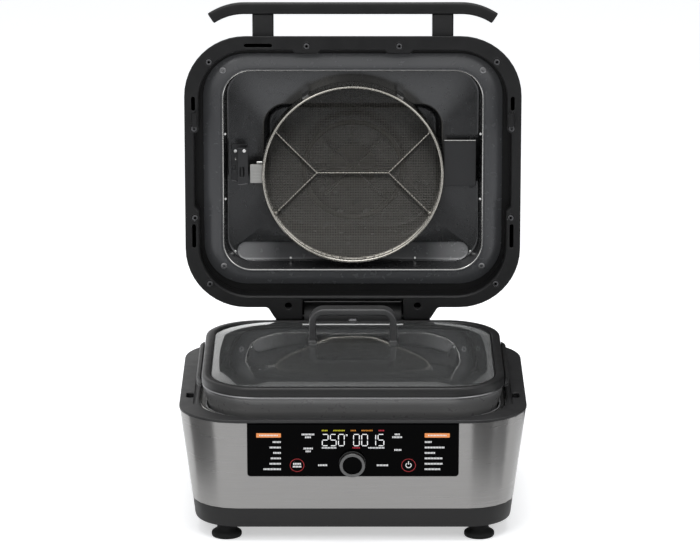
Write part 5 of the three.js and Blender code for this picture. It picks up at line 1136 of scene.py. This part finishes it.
def handle():
    turn_x, turn_y, turn, depth = 128.5, 293.8, 72, -15
    stations = bend((-turn_x, turn_y), turn, 123, 90, 12, depth, True)
    stations += bend((turn_x, turn_y), turn, 90, 57, 12, depth, True)
    for end, beyond in ((0, 1), (-1, -1)):
        here, out = stations[end][:2]
        along = Vector((-out[1], out[0], 0)) * beyond
        for reach, scale in ((0.6, 0.96), (1.1, 0.86)):
            tip = (tuple(Vector(here) + along * reach), out, scale)
            stations = [tip, *stations] if end == 0 else [*stations, tip]
    section = [(u * (0.75 + w / 44) if u > 0 else u, w) for u, w in rounded(7.3, 11, 3.3, (0, 0), 5)]
    bar = swept("handle_bar_dressed", stations, section, (0, 0, 1), LID)
    stand_in(bar, "handle_bar", angle=40)
    for node in ("handle_post_left", "handle_post_right"):
        middle = middle_of(node, LID)
        rings = []
        for inset, y in ((0, 327), (0, 356.9), (0.4, 357.8), (1.2, 358.4)):
            shape = rounded(12.6 - inset, 12 - inset, 4 - inset / 2, (middle.x, middle.z), 6)
            rings.append([(px, y, pz) for px, pz in shape])
        post = loft(f"{node}_dressed", rings, capped=True, place=LID)
        stand_in(post, node, angle=40)


def shell_rings(wall):
    """Rings down one face of the cover, from its rim to the plateau; its top slopes down behind the frame."""
    rings = [(0.6, -3.3, 0)]
    rings += [(inset, z, COVER_SLOPE) for inset, z in arc(15.6, -40, 12, 180, 270, 6)]
    rings += [(43.5, -59.4, 0), (45.3, -60.6, 0), (46.3, -62.6, 0)]
    rings += [(inset, z, 0) for inset, z in arc(60, -102, 10, 180, 270, 6)]
    half_x, half_y, radius, centre_y = COVER
    return [
        level((half_x, half_y - drop, radius, centre_y - drop), inset + wall, z + (wall if z < -4 else 0))
        for inset, z, drop in rings
    ]


def box(name, corners, heights):
    return loft(name, [raised(rectangle(*corners), z) for z in heights], capped=True, place=LID)


def cover():
    shell = loft("lid_cover_dressed", shell_rings(0)[::-1] + shell_rings(COVER_WALL), capped=True, place=LID)
    form = loft("cover_form", shell_rings(1.2), capped=True, place=LID)
    pocket = boolean(box("hinge_pocket", (-62, -2, 62, 11.2), (-49.2, -3.3)), form, "INTERSECT")
    shell = boolean(shell, pocket, "UNION")
    shell = boolean(shell, box("hinge_notch", (-60.8, -9, 60.8, 10), (-48, 9)), "DIFFERENCE")
    slots = []
    for slot in range(-4, 5):
        rings = [[(x, y, z) for x, z in obround(slot * 14, -86, 5, 18)] for y in (30, 70)]
        slots.append(loft("slot", rings, capped=True, place=LID))
    shell = boolean(shell, joined("vent_slots", *slots), "DIFFERENCE")
    stand_in(shell, "lid_cover", "cover", angle=40)
    line = plate("cover_trim_line", [outline(COVER, 74), outline(COVER, 76.5)], -112.5, -111.8, 0.3, LID)
    piece(line, "lid", "black_plastic")
    spots = [(side * 128, y) for side in SIDES for y in (79, 254)]
    heads("cover_screws", "screw", spots, 112, 4, place=LID @ spun(180, "Y"))


def rear_details():
    blades = [rounded(1.1, 3, 0.3, (x, y), 2) for x, y in ((-7, -1), (7, -1), (0, 3))]
    inlet = middle_of("cord_inlet")
    pins = plate("inlet_pins", blades, -13.8, -3, 0.2, at(inlet.x, REAR_Y, inlet.z) @ FACING_BACK)
    piece(pins, "base", "bright_steel")
    behind = at(0, REAR_Y, 0) @ FACING_BACK
    spots = [(-92, 136), (92, 136), (-10, 94), (92, 94)]
    heads("housing_screws", "screw", spots, 0, 3.4, "base", behind, rise=1.1)
    ribs = [rounded(24, 0.9, 0.85, (34, 98 + 6 * row), 3) for row in range(6)]
    piece(plate("housing_ribs", ribs, -0.4, 0.9, 0.3, behind), "base", "black_plastic", "black_matt")


# Studio, in metres: pale floor and backdrop colour, soft lamps, and flags that only gloss sees
FLOOR_GLOW = 0.5


def area_lamp(name, at_point, aim, size, power):
    data = bpy.data.lights.new(name, "AREA")
    data.shape, data.size, data.size_y, data.energy = "RECTANGLE", *size, power
    lamp = added(name, data)
    lamp.location = at_point
    lamp.rotation_euler = (Vector(aim) - Vector(at_point)).to_track_quat("-Z", "Y").to_euler()


def shown_white(tree):
    """1 for the rays of the camera, of gloss and of glass, which see the white of the backdrop."""
    path = add_node(tree, "ShaderNodeLightPath").outputs
    seen = path["Is Camera Ray"]
    for ray in ("Is Glossy Ray", "Is Transmission Ray"):
        seen = add_node(tree, "ShaderNodeMath", {0: seen, 1: path[ray]}, operation="MAXIMUM").outputs["Value"]
    return seen


def make_world():
    world = bpy.data.worlds.new("studio")
    world.use_nodes = True
    tree = world.node_tree
    tree.nodes.clear()
    light = add_node(tree, "ShaderNodeBackground", {"Color": (0.92, 0.95, 1), "Strength": 0.45}).outputs[0]
    white = add_node(tree, "ShaderNodeBackground", {"Color": (1, 1, 1), "Strength": 1.0}).outputs[0]
    mixed = add_node(tree, "ShaderNodeMixShader", {"Fac": shown_white(tree), 1: light, 2: white}).outputs[0]
    add_node(tree, "ShaderNodeOutputWorld", {"Surface": mixed})
    bpy.context.scene.world = world


def studio_sheet(name, corners, g):
    """A flat rectangle of the studio, with the look of a graph."""
    mesh = bpy.data.meshes.new(name)
    mesh.from_pydata([Vector(c) for c in corners], [], [(0, 1, 2, 3)])
    mesh.materials.append(g.material)
    made = added(name, mesh)
    return made


def make_floor():
    g = Graph("floor_paper")
    g.set(Base_Color=(0.86, 0.86, 0.86), Roughness=0.8, Specular_IOR_Level=0.1)
    g.set(Emission_Color=(1, 1, 1), Emission_Strength=g.math("MULTIPLY", shown_white(g.tree), FLOOR_GLOW))
    g.bump(g.noise(900, 2), 0.05, 0.0001)
    reach = 9.0
    studio_sheet("floor", raised(rectangle(-reach, -reach, reach, reach), 0), g)


def flag(name, tone, corners):
    """A studio flag that only gloss sees, as dark as its tone."""
    g = Graph(name + "_cloth")
    g.set(Base_Color=(tone, tone, tone), Roughness=0.9, Specular_IOR_Level=0.05)
    g.bump(g.noise(500, 2), 0.1, 0.0002)
    made = studio_sheet(name, corners, g)
    made.visible_camera = made.visible_diffuse = made.visible_shadow = made.visible_transmission = False


def make_flags():
    """Low ones by the front corners for the steel's dark bands, a tall one behind, one on the floor."""
    foot = 0.002
    for name, tone, (x1, y1), (x2, y2), top in (
        ("flag_left", 0.5, (-0.275, -0.295), (-0.322, -0.12), 0.13),
        ("flag_right", 0.3, (0.178, -0.355), (0.265, -0.287), 0.13),
        ("flag_right_edge", 0.8, (0.265, -0.287), (0.315, -0.19), 0.13),
        ("flag_behind", 0.04, (0.1, 0.36), (0.85, -0.1), 0.6),
    ):
        flag(name, tone, [(x1, y1, foot), (x2, y2, foot), (x2, y2, top), (x1, y1, top)])
    near, far, reach, lift = -1.1, -5.0, 2.4, 0.003
    flag("flag_front", 0.02, raised(rectangle(-reach, far, reach, near), lift))


def make_studio():
    make_world()
    make_floor()
    make_flags()
    area_lamp("key", (-1.5, -2.6, 2.4), (0, 0, 0.25), (1.6, 1.6), 24)
    area_lamp("fill", (2.2, -2.4, 1.8), (0, 0, 0.2), (1.6, 1.6), 14)
    area_lamp("top", (0, -0.35, 2.6), (0, -0.1, 0.2), (1.6, 1.2), 40)
    bpy.context.scene.view_settings.view_transform = "Standard"


make_camera()
looks = build_materials()
dress_nodes()
lid_frame()
lid_liner()
guard_hoop()
guard_mesh()
guard_wire()
guard_tab()
latch_bracket()
rest_plate()
lid_fasteners()
upper_heater()
deck()
tray()
feet()
liner_bead()
panel_marks()
knob()
pot()
level_marks()
glass_ring()
glass_dome()
grip()
steam_vent()
handle()
cover()
rear_details()
make_studio()
